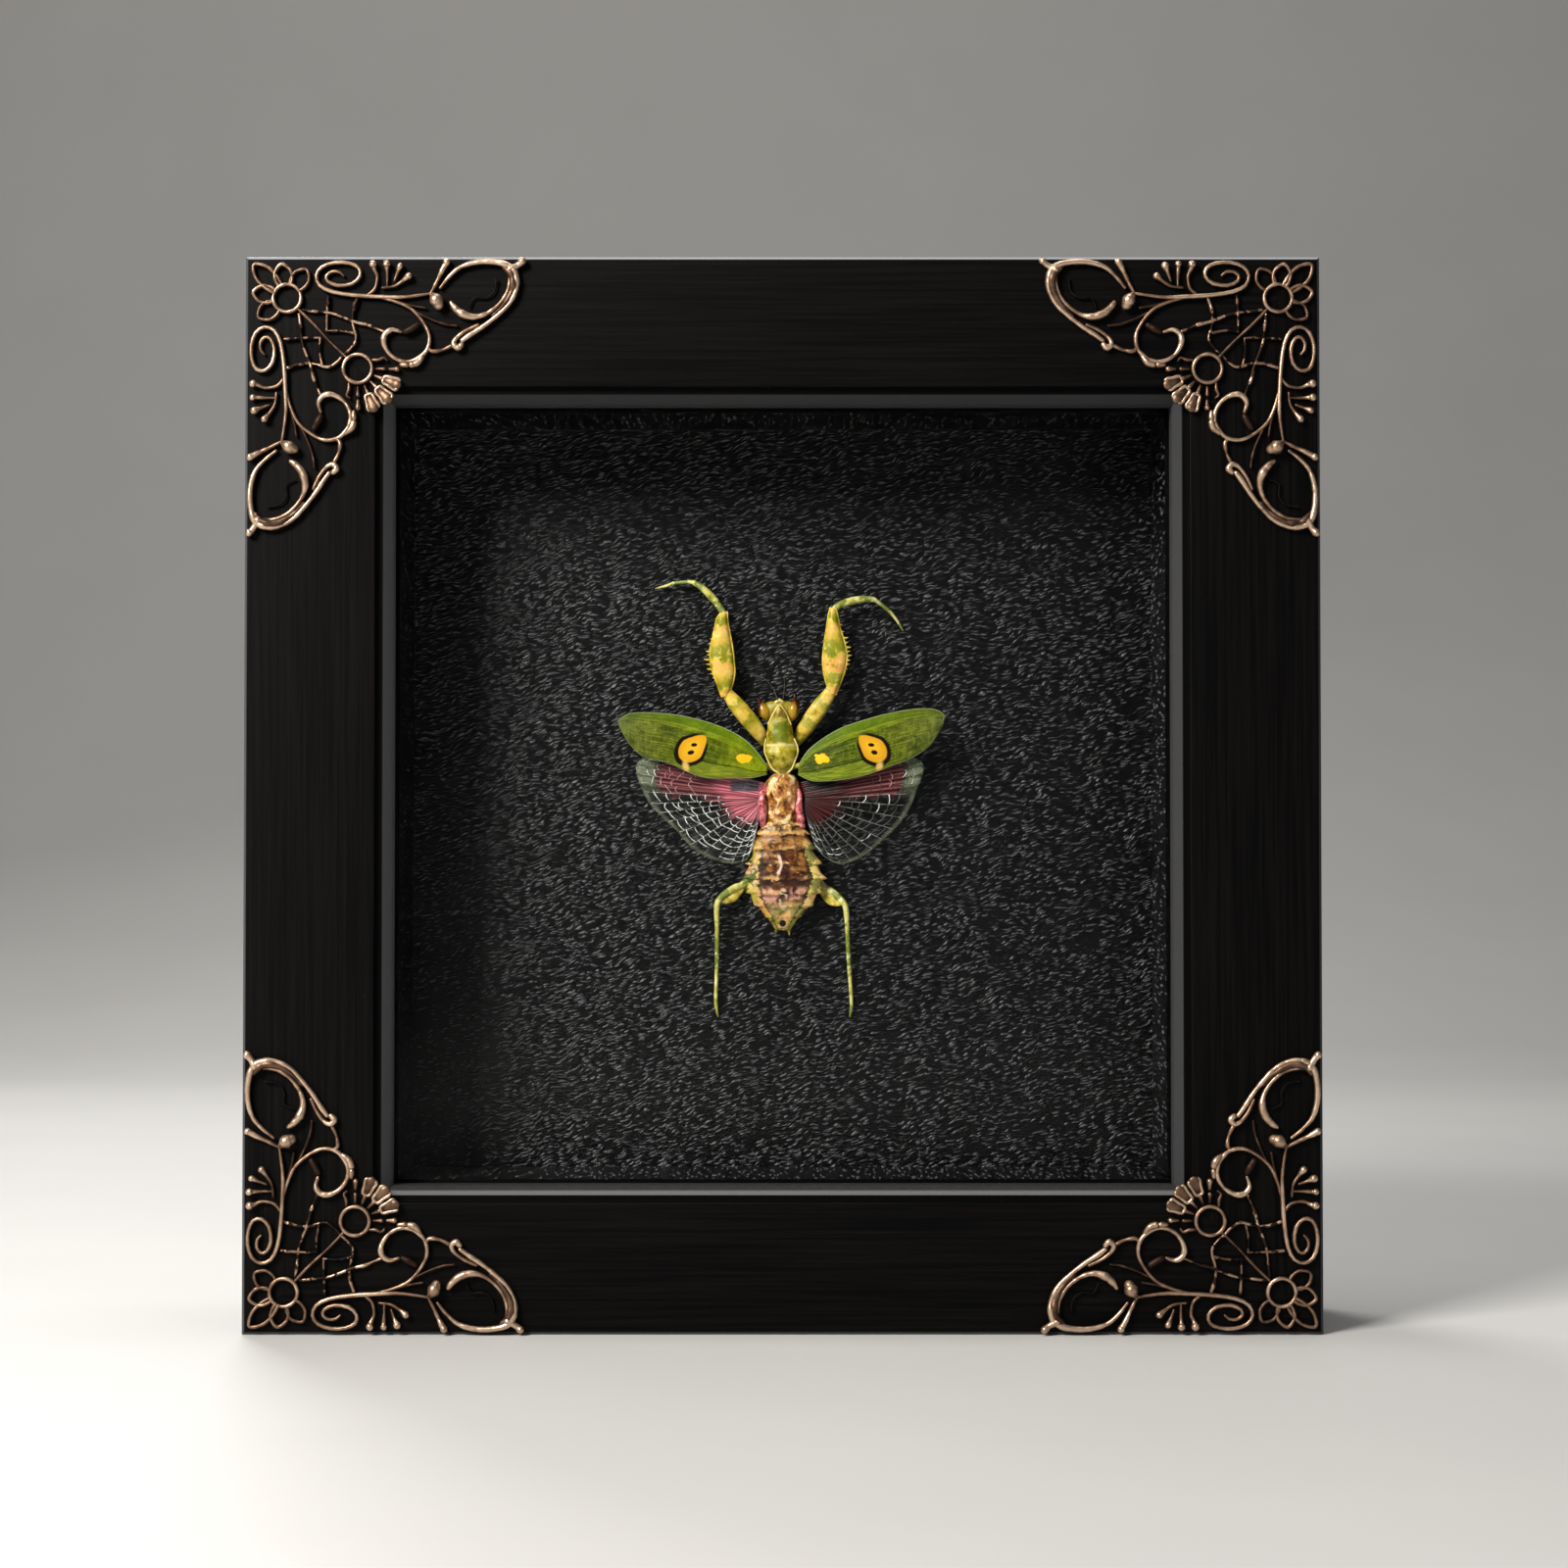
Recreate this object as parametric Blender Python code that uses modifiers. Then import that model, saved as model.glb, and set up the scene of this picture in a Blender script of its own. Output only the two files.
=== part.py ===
"""A dried flower mantis with spread wings, fixed in a black wooden shadow-box frame with
pierced metal corner ornaments. Metres, +Z up; the frame stands on z = 0 and its front faces -Y."""

from math import cos, pi, radians, sin

import bmesh
import bpy
from mathutils import Matrix, Vector

MM = 0.001

# Frame, in millimetres. Widths run inward from the outer edge, depths back from the front face.
FRAME_SIDE = 150.0
FRAME_DEPTH = 32.0
EDGE_CHAMFER = 0.5
FACE_WIDTH = 18.3
GROOVE_WIDTH = 0.9
GROOVE_DEPTH = 1.0
SIGHT_WIDTH = 20.4
SIGHT_DEPTH = 3.0
LIP_DEPTH = 6.0
RABBET_WIDTH = 17.0
MITRE_GAP = 0.15

# What is stacked in the rabbet behind the lip
GLASS_THICKNESS = 2.0
LINER_LENGTH = 17.1
BOARD_THICKNESS = 2.5
PANEL_THICKNESS = 2.5
LINER_SETBACK = 0.3

# What stands proud of the frame, and the front face's place that centres the whole on y = 0
GAP = 0.3
HANGER_PROUD = 1.5
ORNAMENT_THICKNESS = 2.0
FRONT_Y = -(FRAME_DEPTH + HANGER_PROUD - GAP - ORNAMENT_THICKNESS) / 2

# Specimen. Its points are (right, up, height off the paper) in millimetres.
PAPER_Y = FRONT_Y + LIP_DEPTH + GLASS_THICKNESS + LINER_LENGTH + 3 * GAP
WING_THICKNESS = 0.24

# Half the width of the corner ornaments' wires
WIRE = 0.3

COLOURS = {
    "black_paint": ((0.012, 0.012, 0.013), 0.45, 0.0),
    "glass": ((0.9, 0.92, 0.92), 0.05, 0.0),
    "embossed_paper": ((0.01, 0.01, 0.011), 0.4, 0.0),
    "bronze": ((0.42, 0.28, 0.18), 0.35, 1.0),
    "hardboard": ((0.16, 0.10, 0.06), 0.7, 0.0),
    "steel": ((0.55, 0.55, 0.55), 0.3, 1.0),
    "green_chitin": ((0.35, 0.42, 0.08), 0.4, 0.0),
    "brown_chitin": ((0.38, 0.22, 0.09), 0.4, 0.0),
    "leg_chitin": ((0.55, 0.52, 0.14), 0.4, 0.0),
    "forewing": ((0.12, 0.24, 0.03), 0.45, 0.0),
    "hindwing": ((0.35, 0.13, 0.16), 0.4, 0.0),
}


def clear_scene():
    for obj in list(bpy.data.objects):
        bpy.data.objects.remove(obj, do_unlink=True)


def collection(name):
    made = bpy.data.collections.new(name)
    bpy.context.scene.collection.children.link(made)
    return made


def material(name):
    found = bpy.data.materials.get(name)
    if found:
        return found
    colour, roughness, metallic = COLOURS[name]
    made = bpy.data.materials.new(name)
    made.use_nodes = True
    shader = made.node_tree.nodes["Principled BSDF"]
    shader.inputs["Base Color"].default_value = (*colour, 1.0)
    shader.inputs["Roughness"].default_value = roughness
    shader.inputs["Metallic"].default_value = metallic
    return made


def finished(obj, name, finish, where):
    """Names the object, paints it and puts it with the parts."""
    obj.name = name
    obj.data.name = name
    obj.data.materials.clear()
    obj.data.materials.append(material(finish))
    for old in list(obj.users_collection):
        old.objects.unlink(obj)
    where.objects.link(obj)
    return obj


def box(name, low, high, finish, where):
    """A box between two corners given in millimetres."""
    centre = [(a + b) / 2 * MM for a, b in zip(low, high)]
    bpy.ops.mesh.primitive_cube_add(size=1, location=centre)
    obj = bpy.context.object
    obj.scale = [(b - a) * MM for a, b in zip(low, high)]
    return finished(obj, name, finish, where)


def mesh_object(name, bm):
    mesh = bpy.data.meshes.new(name)
    bm.to_mesh(mesh)
    bm.free()
    obj = bpy.data.objects.new(name, mesh)
    bpy.context.scene.collection.objects.link(obj)
    return obj


def baked(obj):
    """A mesh in place of a curve or of a mesh with modifiers, its loose caps welded on."""
    bpy.context.view_layer.update()
    graph = bpy.context.evaluated_depsgraph_get()
    mesh = bpy.data.meshes.new_from_object(obj.evaluated_get(graph))
    bm = bmesh.new()
    bm.from_mesh(mesh)
    bmesh.ops.remove_doubles(bm, verts=bm.verts, dist=1e-7)
    bmesh.ops.recalc_face_normals(bm, faces=bm.faces)
    bm.to_mesh(mesh)
    bm.free()
    made = bpy.data.objects.new(obj.name, mesh)
    made.matrix_world = obj.matrix_world
    bpy.context.scene.collection.objects.link(made)
    bpy.data.objects.remove(obj)
    return made


def fused(pieces):
    """Overlapping closed pieces as one closed body."""
    bm = bmesh.new()
    for piece in pieces[1:]:
        part = piece.data.copy()
        part.transform(piece.matrix_world)
        bm.from_mesh(part)
    rest = mesh_object("rest", bm)
    first = pieces[0]
    union = first.modifiers.new("union", "BOOLEAN")
    union.operation = "UNION"
    union.solver = "EXACT"
    union.use_self = True
    union.object = rest
    made = baked(first)
    for obj in [*pieces[1:], rest]:
        bpy.data.objects.remove(obj)
    return made


def tube(points, radii, sides=6, cyclic=False, flat=None):
    """A round tube in millimetres through the points, with a radius at each. flat may be a
    profile object, and the tube is then a wire of that section lying in the XY plane."""
    curve = bpy.data.curves.new("tube", "CURVE")
    curve.dimensions = "2D" if flat else "3D"
    curve.fill_mode = "NONE" if flat else "FULL"
    if flat:
        curve.bevel_mode = "OBJECT"
        curve.bevel_object = flat
    else:
        curve.bevel_depth = MM
        curve.bevel_resolution = sides // 2 - 2
    curve.use_fill_caps = True
    spline = curve.splines.new("POLY")
    spline.points.add(len(points) - 1)
    for slot, point, radius in zip(spline.points, points, radii):
        slot.co = (*[c * MM for c in point], 1)
        slot.radius = radius
    spline.use_cyclic_u = cyclic
    obj = bpy.data.objects.new("tube", curve)
    bpy.context.scene.collection.objects.link(obj)
    return baked(obj)


def depth_y(depth):
    """World Y in millimetres at a depth behind the frame's front face."""
    return FRONT_Y + depth


def make_frame(where):
    """Four mitred rails. Each is its section drawn out along the rail, with every corner of
    the section slid in at the ends by its own distance from the outer edge."""
    section = [
        (0, EDGE_CHAMFER),
        (EDGE_CHAMFER, 0),
        (FACE_WIDTH, 0),
        (FACE_WIDTH, GROOVE_DEPTH),
        (FACE_WIDTH + GROOVE_WIDTH, GROOVE_DEPTH),
        (SIGHT_WIDTH, SIGHT_DEPTH),
        (SIGHT_WIDTH, LIP_DEPTH),
        (RABBET_WIDTH, LIP_DEPTH),
        (RABBET_WIDTH, FRAME_DEPTH),
        (EDGE_CHAMFER, FRAME_DEPTH),
        (0, FRAME_DEPTH - EDGE_CHAMFER),
    ]
    half = FRAME_SIDE / 2
    for turn, name in enumerate(("rail_bottom", "rail_right", "rail_top", "rail_left")):
        bm = bmesh.new()
        ends = []
        for side in (-1, 1):
            ends.append([
                bm.verts.new(Vector((side * (half - MITRE_GAP - inward), depth_y(back), inward - half)) * MM)
                for inward, back in section
            ])
        bm.faces.new(ends[0])
        bm.faces.new(reversed(ends[1]))
        for i in range(len(section)):
            j = (i + 1) % len(section)
            bm.faces.new((ends[0][j], ends[0][i], ends[1][i], ends[1][j]))
        bmesh.ops.recalc_face_normals(bm, faces=bm.faces)
        rail = mesh_object(name, bm)
        rail.location.z = half * MM
        rail.rotation_euler.y = -turn * pi / 2
        finished(rail, name, "black_paint", where)


def make_box_contents(where):
    """Glass, liner strips, backing board and back panel, stacked in the rabbet."""
    reach = FRAME_SIDE / 2 - RABBET_WIDTH - GAP
    inner = FRAME_SIDE / 2 - SIGHT_WIDTH - LINER_SETBACK
    middle = FRAME_SIDE / 2
    glass = LIP_DEPTH + GAP
    liner = glass + GLASS_THICKNESS + GAP
    board = liner + LINER_LENGTH + GAP
    panel = board + BOARD_THICKNESS + GAP
    for name, start, thickness, finish in (
        ("glass_pane", glass, GLASS_THICKNESS, "glass"),
        ("backing_board", board, BOARD_THICKNESS, "embossed_paper"),
        ("back_panel", panel, PANEL_THICKNESS, "hardboard"),
    ):
        low = (-reach, depth_y(start), middle - reach)
        high = (reach, depth_y(start + thickness), middle + reach)
        box(name, low, high, finish, where)
    for side, upper, beside in ((-1, "liner_bottom", "liner_left"), (1, "liner_top", "liner_right")):
        across = sorted((side * inner, side * reach))
        low = (-reach, depth_y(liner), middle + across[0])
        high = (reach, depth_y(liner + LINER_LENGTH), middle + across[1])
        box(upper, low, high, "embossed_paper", where)
        low = (across[0], depth_y(liner), middle - inner + GAP)
        high = (across[1], depth_y(liner + LINER_LENGTH), middle + inner - GAP)
        box(beside, low, high, "embossed_paper", where)


def make_back_fittings(where):
    """Steel tabs that hold the back panel in, and a sawtooth hanger on the top rail."""
    back = depth_y(FRAME_DEPTH)
    middle = FRAME_SIDE / 2
    tab_from, tab_to, tab_half, tab_thick = 9.0, 23.0, 3.0, 0.6
    for side, word in ((-1, "left"), (1, "right")):
        across = sorted((side * (middle - tab_from), side * (middle - tab_to)))
        for height, level in ((42.0, "lower"), (108.0, "upper")):
            low = (across[0], back + GAP, height - tab_half)
            high = (across[1], back + GAP + tab_thick, height + tab_half)
            box(f"tab_{word}_{level}", low, high, "steel", where)

    hanger_half, hanger_low, hanger_high = 22.0, 137.0, 145.0
    tooth, teeth, tooth_from, plate = 1.6, 12, 15.0, 0.6
    outline = [(-hanger_half, hanger_high), (-hanger_half, hanger_low)]
    pitch = 2 * tooth_from / teeth
    for i in range(teeth):
        outline.append((-tooth_from + i * pitch, hanger_low))
        outline.append((-tooth_from + (i + 0.5) * pitch, hanger_low + tooth))
    outline += [(tooth_from, hanger_low), (hanger_half, hanger_low), (hanger_half, hanger_high)]
    curve = bpy.data.curves.new("hanger", "CURVE")
    curve.dimensions = "2D"
    curve.fill_mode = "BOTH"
    curve.extrude = plate / 2 * MM
    spline = curve.splines.new("POLY")
    spline.points.add(len(outline) - 1)
    for slot, (x, z) in zip(spline.points, outline):
        slot.co = (x * MM, z * MM, 0, 1)
    spline.use_cyclic_u = True
    obj = bpy.data.objects.new("hanger", curve)
    obj.rotation_euler.x = pi / 2
    obj.location.y = (back + HANGER_PROUD - plate / 2) * MM
    bpy.context.scene.collection.objects.link(obj)
    pieces = [baked(obj)]
    foot = 4.0
    for side in (-1, 1):
        across = sorted((side * (hanger_half - 0.2), side * (hanger_half - foot)))
        low = (across[0], back + GAP, hanger_low + 1)
        high = (across[1], back + HANGER_PROUD - plate / 2, hanger_high - 1)
        pieces.append(baked(box("foot", low, high, "steel", where)))
    finished(fused(pieces), "sawtooth_hanger", "steel", where)


def wire_profile(where):
    """The ridged section that the ornament's wires are drawn with: a flat back and a crest."""
    curve = bpy.data.curves.new("wire_profile", "CURVE")
    curve.dimensions = "2D"
    spline = curve.splines.new("POLY")
    corners = ((-1.0, -0.6), (1.0, -0.6), (0.0, 1.6))
    spline.points.add(len(corners) - 1)
    for slot, (x, y) in zip(spline.points, corners):
        slot.co = (x * MM, y * MM, 0, 1)
    spline.use_cyclic_u = True
    obj = bpy.data.objects.new("wire_profile", curve)
    obj.hide_render = True
    obj.display_type = "WIRE"
    where.objects.link(obj)
    return obj


def ring_points(centre, radius, count):
    return [
        (centre + radius * cos(2 * pi * i / count), centre + radius * sin(2 * pi * i / count))
        for i in range(count)
    ]


def ornament_wires():
    """The filigree as (points, radii, closed), in millimetres right and down from the frame's
    corner. Half of it is drawn, and mirrored in the diagonal."""
    flower, eye = 5.95, 15.8
    wires = [
        (ring_points(flower, 1.94, 8), [WIRE] * 8, True),
        (ring_points(eye, 2.0, 8), [WIRE] * 8, True),
        ([(7.2, 7.2), (14.5, 14.5)], [WIRE * 0.8] * 2, False),
        (petal(flower, -135, 5.1), [WIRE * 0.9] * 5, False),
        (ray(eye, 45, 4.2), [WIRE * 0.7, WIRE * 1.3, WIRE * 2.5], False),
    ]
    half = [
        (petal(flower, -100, 3.0), [WIRE * 0.9] * 5, False),
        (petal(flower, -56, 3.0), [WIRE * 0.9] * 5, False),
        spiral_and_stem(),
        ([(17.3, 5.5), (18.3, 4.4), (18.0, 1.3)], [0.22, 0.24, 0.45], False),
        ([(18.3, 4.5), (20.0, 4.3), (23.0, 2.7)], [0.2, 0.22, 0.45], False),
        ([(19.6, 4.4), (19.9, 1.2)], [0.2, 0.42], False),
        ([(20.7, 4.0), (21.7, 1.4)], [0.2, 0.42], False),
        ([(26.1, 5.9), (28.1, 0.9)], [0.24, 0.5], False),
        ([(21.3, 6.4), (27.6, 9.3), (31.0, 9.9)], [0.18, 0.22, 0.22], False),
        # the leaf-shaped eye at the end of the arm: upper rim, tip, outer rim and inner rim
        ([(26.9, 5.3), (29.3, 2.1), (33.0, 0.95), (37.2, 1.6), (38.0, 4.6), (35.8, 7.8), (32.6, 10.3),
          (30.4, 11.7), (29.8, 12.9)],
         [0.25, 0.35, 0.42, 0.55, 0.42, 0.4, 0.42, 0.4, 0.6], False),
        ([(36.7, 2.1), (38.9, 0.75)], [0.6, 0.5], False),
        ([(36.9, 2.3), (36.3, 5.3), (33.6, 7.9), (30.6, 8.3), (28.8, 6.7)],
         [0.3, 0.3, 0.42, 0.62, 0.35], False),
        # the scroll beside it, with beads on its outer side
        ([(19.0, 5.8), (23.2, 7.4), (25.7, 11.0), (25.1, 13.7), (22.6, 14.9), (20.0, 13.2), (19.5, 10.9),
          (21.8, 10.4)],
         [0.22, 0.26, 0.3, 0.34, 0.36, 0.4, 0.44, 0.3], False),
        ([(21.6, 15.1), (23.2, 15.3), (24.6, 14.5)], [0.3, 0.62, 0.4], False),
        ([(25.5, 12.9), (26.8, 13.6), (29.7, 12.5)], [0.25, 0.32, 0.32], False),
        # cobweb
        ([(7.75, 7.0), (11.6, 8.1), (19.6, 10.9)], [WIRE * 0.7] * 3, False),
        ([(11.6, 4.9), (11.5, 11.3)], [WIRE * 0.7] * 2, False),
        ([(15.6, 5.4), (15.5, 11.7), (14.1, 13.6)], [WIRE * 0.7] * 3, False),
        # fan below the eye
        (ray(eye, 23, 4.2)[::2], [WIRE * 0.6, 0.72], False),
        (ray(eye, 0, 4.1)[::2], [WIRE * 0.7, 0.35], False),
    ]
    for points, radii, closed in half:
        wires.append((points, radii, closed))
        wires.append(([(b, a) for a, b in points], radii, closed))
    return wires


def ray(centre, angle, reach):
    """A fan blade that starts on the ring round the eye."""
    start = 1.9
    return [
        (centre + r * cos(radians(angle)), centre + r * sin(radians(angle)))
        for r in (start, start + reach * 0.45, start + reach)
    ]


def petal(centre, angle, reach):
    """A pointed loop that starts and ends on the ring round the flower's middle."""
    ring, spread = 1.9, 0.42
    out = []
    for side, along in ((-1, 0), (-1.35, 0.6), (0, 1), (1.35, 0.6), (1, 0)):
        r = ring + reach * along
        turn = radians(angle) + side * spread * ring / r
        out.append((centre + r * cos(turn), centre + r * sin(turn)))
    return out


def spiral_and_stem():
    """An oval scroll that unwinds into the stem that carries the fronds and ends in a bead."""
    points = [
        (13.8, 2.8), (12.2, 2.3), (11.4, 3.3), (13.0, 4.2), (15.3, 3.8), (16.1, 2.6), (14.8, 1.2), (12.3, 1.0),
        (10.4, 1.9), (10.1, 3.4), (11.3, 4.8), (14.5, 5.5), (18.3, 5.7), (22.5, 5.8), (25.4, 5.7),
        (26.8, 6.2), (27.7, 6.5),
    ]
    radii = [WIRE] * 14 + [WIRE * 1.3, WIRE * 3.0, WIRE * 1.6]
    return points, radii, False


def make_ornaments(where, helpers):
    """One filigree corner, and the same piece turned for the other three."""
    profile = wire_profile(helpers)
    pieces = []
    for i, (points, radii, closed) in enumerate(ornament_wires()):
        wire = tube([(*p, 0) for p in points], radii, cyclic=closed, flat=profile)
        # each wire sits a hair higher than the last, so that no two backs share a plane
        wire.location.z = i * 0.0015 * MM
        pieces.append(wire)
    bpy.context.view_layer.update()
    corner = fused(pieces)
    half = FRAME_SIDE / 2
    # the drawing's right and down become world +X and -Z, and its height comes forward
    corner.data.transform(Matrix(((1, 0, 0, 0), (0, 0, -1, 0), (0, -1, 0, 0), (0, 0, 0, 1))))
    corner.data.flip_normals()
    depths = [v.co.y for v in corner.data.vertices]
    stretch = ORNAMENT_THICKNESS * MM / (max(depths) - min(depths))
    corner.data.transform(Matrix.Diagonal((1, stretch, 1, 1)))
    move = (FRONT_Y - GAP) * MM - max(depths) * stretch
    corner.data.transform(Matrix.Translation((-half * MM, move, half * MM)))
    for turn, word in enumerate(("top_left", "top_right", "bottom_right", "bottom_left")):
        name = f"ornament_{word}"
        obj = bpy.data.objects.new(name, corner.data.copy())
        obj.location.z = half * MM
        obj.rotation_euler.y = turn * pi / 2
        finished(obj, name, "bronze", where)
    bpy.data.objects.remove(corner)


def at(point):
    """World place of a specimen point."""
    right, up, height = point
    return Vector((right, PAPER_Y - height, up)) * MM


def loft(name, stations, sides=8):
    """A rounded body along Z. Each station is (up, left, right, low, high), an oval section."""
    bm = bmesh.new()
    rings = []
    for up, left, right, low, high in stations:
        ring = []
        for i in range(sides):
            angle = 2 * pi * (i + 0.5) / sides
            across = (left + right) / 2 + (right - left) / 2 * cos(angle)
            height = (low + high) / 2 + (high - low) / 2 * sin(angle)
            ring.append(bm.verts.new(at((across, up, height))))
        rings.append(ring)
    for ring, after in zip(rings, rings[1:]):
        for i in range(sides):
            j = (i + 1) % sides
            bm.faces.new((ring[i], ring[j], after[j], after[i]))
    bm.faces.new(rings[0])
    bm.faces.new(reversed(rings[-1]))
    bmesh.ops.recalc_face_normals(bm, faces=bm.faces)
    return mesh_object(name, bm)


def limb(points, radii):
    """A round limb through specimen points."""
    return tube([tuple(at(point) / MM) for point in points], radii)


def spine(root, tip, radius=0.2):
    """A sharp four-sided spine from inside a limb out to its tip."""
    low, high = at(root), at(tip)
    bm = bmesh.new()
    bmesh.ops.create_cone(
        bm, cap_ends=True, segments=4, radius1=radius * MM, radius2=radius * 0.2 * MM, depth=(high - low).length
    )
    turn = (high - low).to_track_quat("Z", "Y").to_matrix().to_4x4()
    bmesh.ops.transform(bm, matrix=Matrix.Translation((low + high) / 2) @ turn, verts=bm.verts)
    return mesh_object("spine", bm)


def membrane(name, edge_a, edge_b, rows, height, finish, where):
    """A thin wing between two edges with as many points each. height(i, t) is its height off
    the paper at point i of the edges, a part t of the way across."""
    bm = bmesh.new()
    grid = []
    for i, (a, b) in enumerate(zip(edge_a, edge_b)):
        line = []
        for j in range(rows + 1):
            t = j / rows
            across = [p + (q - p) * t for p, q in zip(a, b)]
            line.append(bm.verts.new(at((*across, height(i, t)))))
        grid.append(line)
    for one, two in zip(grid, grid[1:]):
        for j in range(rows):
            bm.faces.new((one[j], one[j + 1], two[j + 1], two[j]))
    bmesh.ops.recalc_face_normals(bm, faces=bm.faces)
    sheet = mesh_object(name, bm)
    thick = sheet.modifiers.new("thickness", "SOLIDIFY")
    thick.thickness = WING_THICKNESS * MM
    thick.offset = 0
    return finished(baked(sheet), name, finish, where)


def make_body(where):
    """Head, prothorax, thorax and abdomen, from front to back."""
    head = [
        (86.85, -2.0, 1.3, 2.2, 4.0),
        (87.6, -2.9, 1.8, 1.9, 4.2),
        (88.5, -3.2, 2.0, 1.9, 4.2),
        (89.15, -2.9, 1.7, 2.2, 3.9),
        (89.4, -1.6, 0.6, 2.6, 3.5),
    ]
    eyes = []
    for side, middle in ((-1, -2.75), (1, 1.65)):
        bm = bmesh.new()
        bmesh.ops.create_icosphere(bm, subdivisions=1, radius=1)
        lean = Matrix.Rotation(radians(14 * side), 4, "Y")
        size = Matrix.Diagonal((0.85 * MM, 1.15 * MM, 1.6 * MM, 1))
        bmesh.ops.transform(bm, matrix=Matrix.Translation(at((middle, 88.0, 3.2))) @ lean @ size, verts=bm.verts)
        eyes.append(mesh_object("eye", bm))
        tip = middle + side * 0.75
        eyes.append(spine((middle + side * 0.2, 88.4, 3.2), (tip, 90.1, 3.3), 0.45))
    finished(fused([loft("head", head), *eyes]), "head", "green_chitin", where)

    prothorax = [
        (86.5, -1.2, 0.6, 2.8, 4.2),
        (85.9, -1.75, 1.15, 2.5, 4.5),
        (84.6, -2.1, 1.5, 2.3, 4.7),
        (83.2, -2.3, 1.75, 2.3, 4.7),
        (82.5, -2.6, 2.1, 2.3, 4.6),
        (81.6, -2.8, 2.35, 2.3, 4.8),
        (80.2, -2.35, 1.95, 2.4, 4.8),
        (79.2, -1.6, 1.4, 2.6, 4.6),
        (78.4, -1.15, 1.1, 2.8, 4.3),
    ]
    finished(loft("prothorax", prothorax), "prothorax", "green_chitin", where)

    thorax = [
        (78.1, -1.3, 1.4, 2.4, 4.2),
        (77.3, -2.3, 2.35, 1.2, 4.8),
        (75.8, -2.4, 2.45, 0.3, 5.0),
        (74.3, -2.1, 2.2, 0.3, 4.6),
        (72.6, -2.1, 2.15, 0.3, 4.8),
        (71.4, -1.9, 1.9, 1.6, 4.4),
    ]
    finished(loft("thorax", thorax), "thorax", "brown_chitin", where)

    abdomen = [
        (71.1, -2.1, 2.2, 1.9, 4.2),
        (69.9, -3.0, 3.2, 1.6, 4.8),
        (68.7, -3.5, 3.5, 1.6, 4.7),
        (67.3, -4.3, 4.4, 1.6, 4.9),
        (66.9, -4.0, 4.1, 1.6, 4.7),
        (65.3, -5.1, 5.2, 1.6, 4.9),
        (64.9, -4.8, 4.9, 1.6, 4.7),
        (63.2, -5.6, 6.2, 1.6, 4.8),
        (62.7, -5.2, 5.7, 1.6, 4.6),
        (61.1, -5.2, 5.6, 1.6, 4.7),
        (60.7, -4.7, 5.1, 1.6, 4.5),
        (59.2, -4.1, 4.3, 1.8, 4.4),
        (58.8, -3.5, 3.6, 1.9, 4.2),
        (57.4, -2.3, 2.4, 2.1, 4.1),
        (56.0, -1.4, 1.5, 2.3, 3.8),
        (55.5, -0.9, 1.0, 2.6, 3.5),
    ]
    pieces = [loft("abdomen", abdomen, 10)]
    for side in (-1, 1):
        pieces.append(spine((side * 0.7, 56.1, 3.0), (side * 1.0, 54.7, 2.7), 0.3))
    finished(fused(pieces), "abdomen", "brown_chitin", where)


def make_wings(where):
    """Two smooth forewings, and below them two hindwings pleated like a fan."""
    front = {
        "left": [(-2.8, 79.6), (-3.5, 80.9), (-5.2, 83.1), (-7.8, 84.6), (-11.5, 86.1), (-15.8, 86.9),
                 (-19.7, 87.2), (-22.7, 87.0), (-24.1, 85.9)],
        "right": [(2.8, 79.6), (3.9, 81.7), (5.6, 83.2), (8.6, 84.9), (11.9, 86.1), (15.6, 87.1),
                  (19.8, 87.8), (22.5, 87.7), (23.8, 86.7)],
    }
    rear = {
        "left": [(-2.8, 78.0), (-4.6, 77.7), (-7.5, 77.7), (-10.8, 77.7), (-13.4, 78.4), (-16.5, 79.9),
                 (-20.4, 80.8), (-22.4, 82.7), (-23.8, 85.0)],
        "right": [(2.8, 77.7), (4.2, 77.3), (5.9, 77.2), (9.0, 77.5), (12.3, 78.2), (15.2, 79.2),
                  (18.5, 80.5), (21.2, 82.1), (23.2, 85.0)],
    }

    def forewing_height(i, t):
        return 4.2 + 1.3 * min(1, i / 3) + 0.25 * sin(pi * t)

    for side in ("left", "right"):
        membrane(f"forewing_{side}", front[side], rear[side], 3, forewing_height, "forewing", where)

    rims = {
        "left": [(-19.6, 80.7), (-21.4, 79.7), (-21.2, 78.1), (-20.6, 76.2), (-19.4, 73.9), (-17.7, 72.2),
                 (-15.7, 70.3), (-13.3, 67.5), (-10.4, 65.9), (-7.2, 65.1), (-5.2, 65.7), (-4.4, 67.3)],
        "right": [(19.0, 80.7), (20.6, 79.6), (20.4, 78.0), (19.6, 76.2), (18.8, 73.6), (17.1, 71.1),
                  (15.0, 69.0), (12.9, 67.1), (10.6, 65.6), (8.4, 65.1), (6.4, 66.0), (4.7, 67.6)],
    }
    for side, way in (("left", -1), ("right", 1)):
        rim = rims[side]
        last = len(rim) - 1
        root = [(way * (2.8 + 0.4 * i / last), 77.0 - 5.6 * i / last) for i in range(last + 1)]

        def hindwing_height(i, t):
            return 3.1 + 1.1 * min(1, 3 * t) * (1 - 0.3 * i / last) + (0.25 if i % 2 else -0.2) * t

        membrane(f"hindwing_{side}", root, rim, 3, hindwing_height, "hindwing", where)


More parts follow.
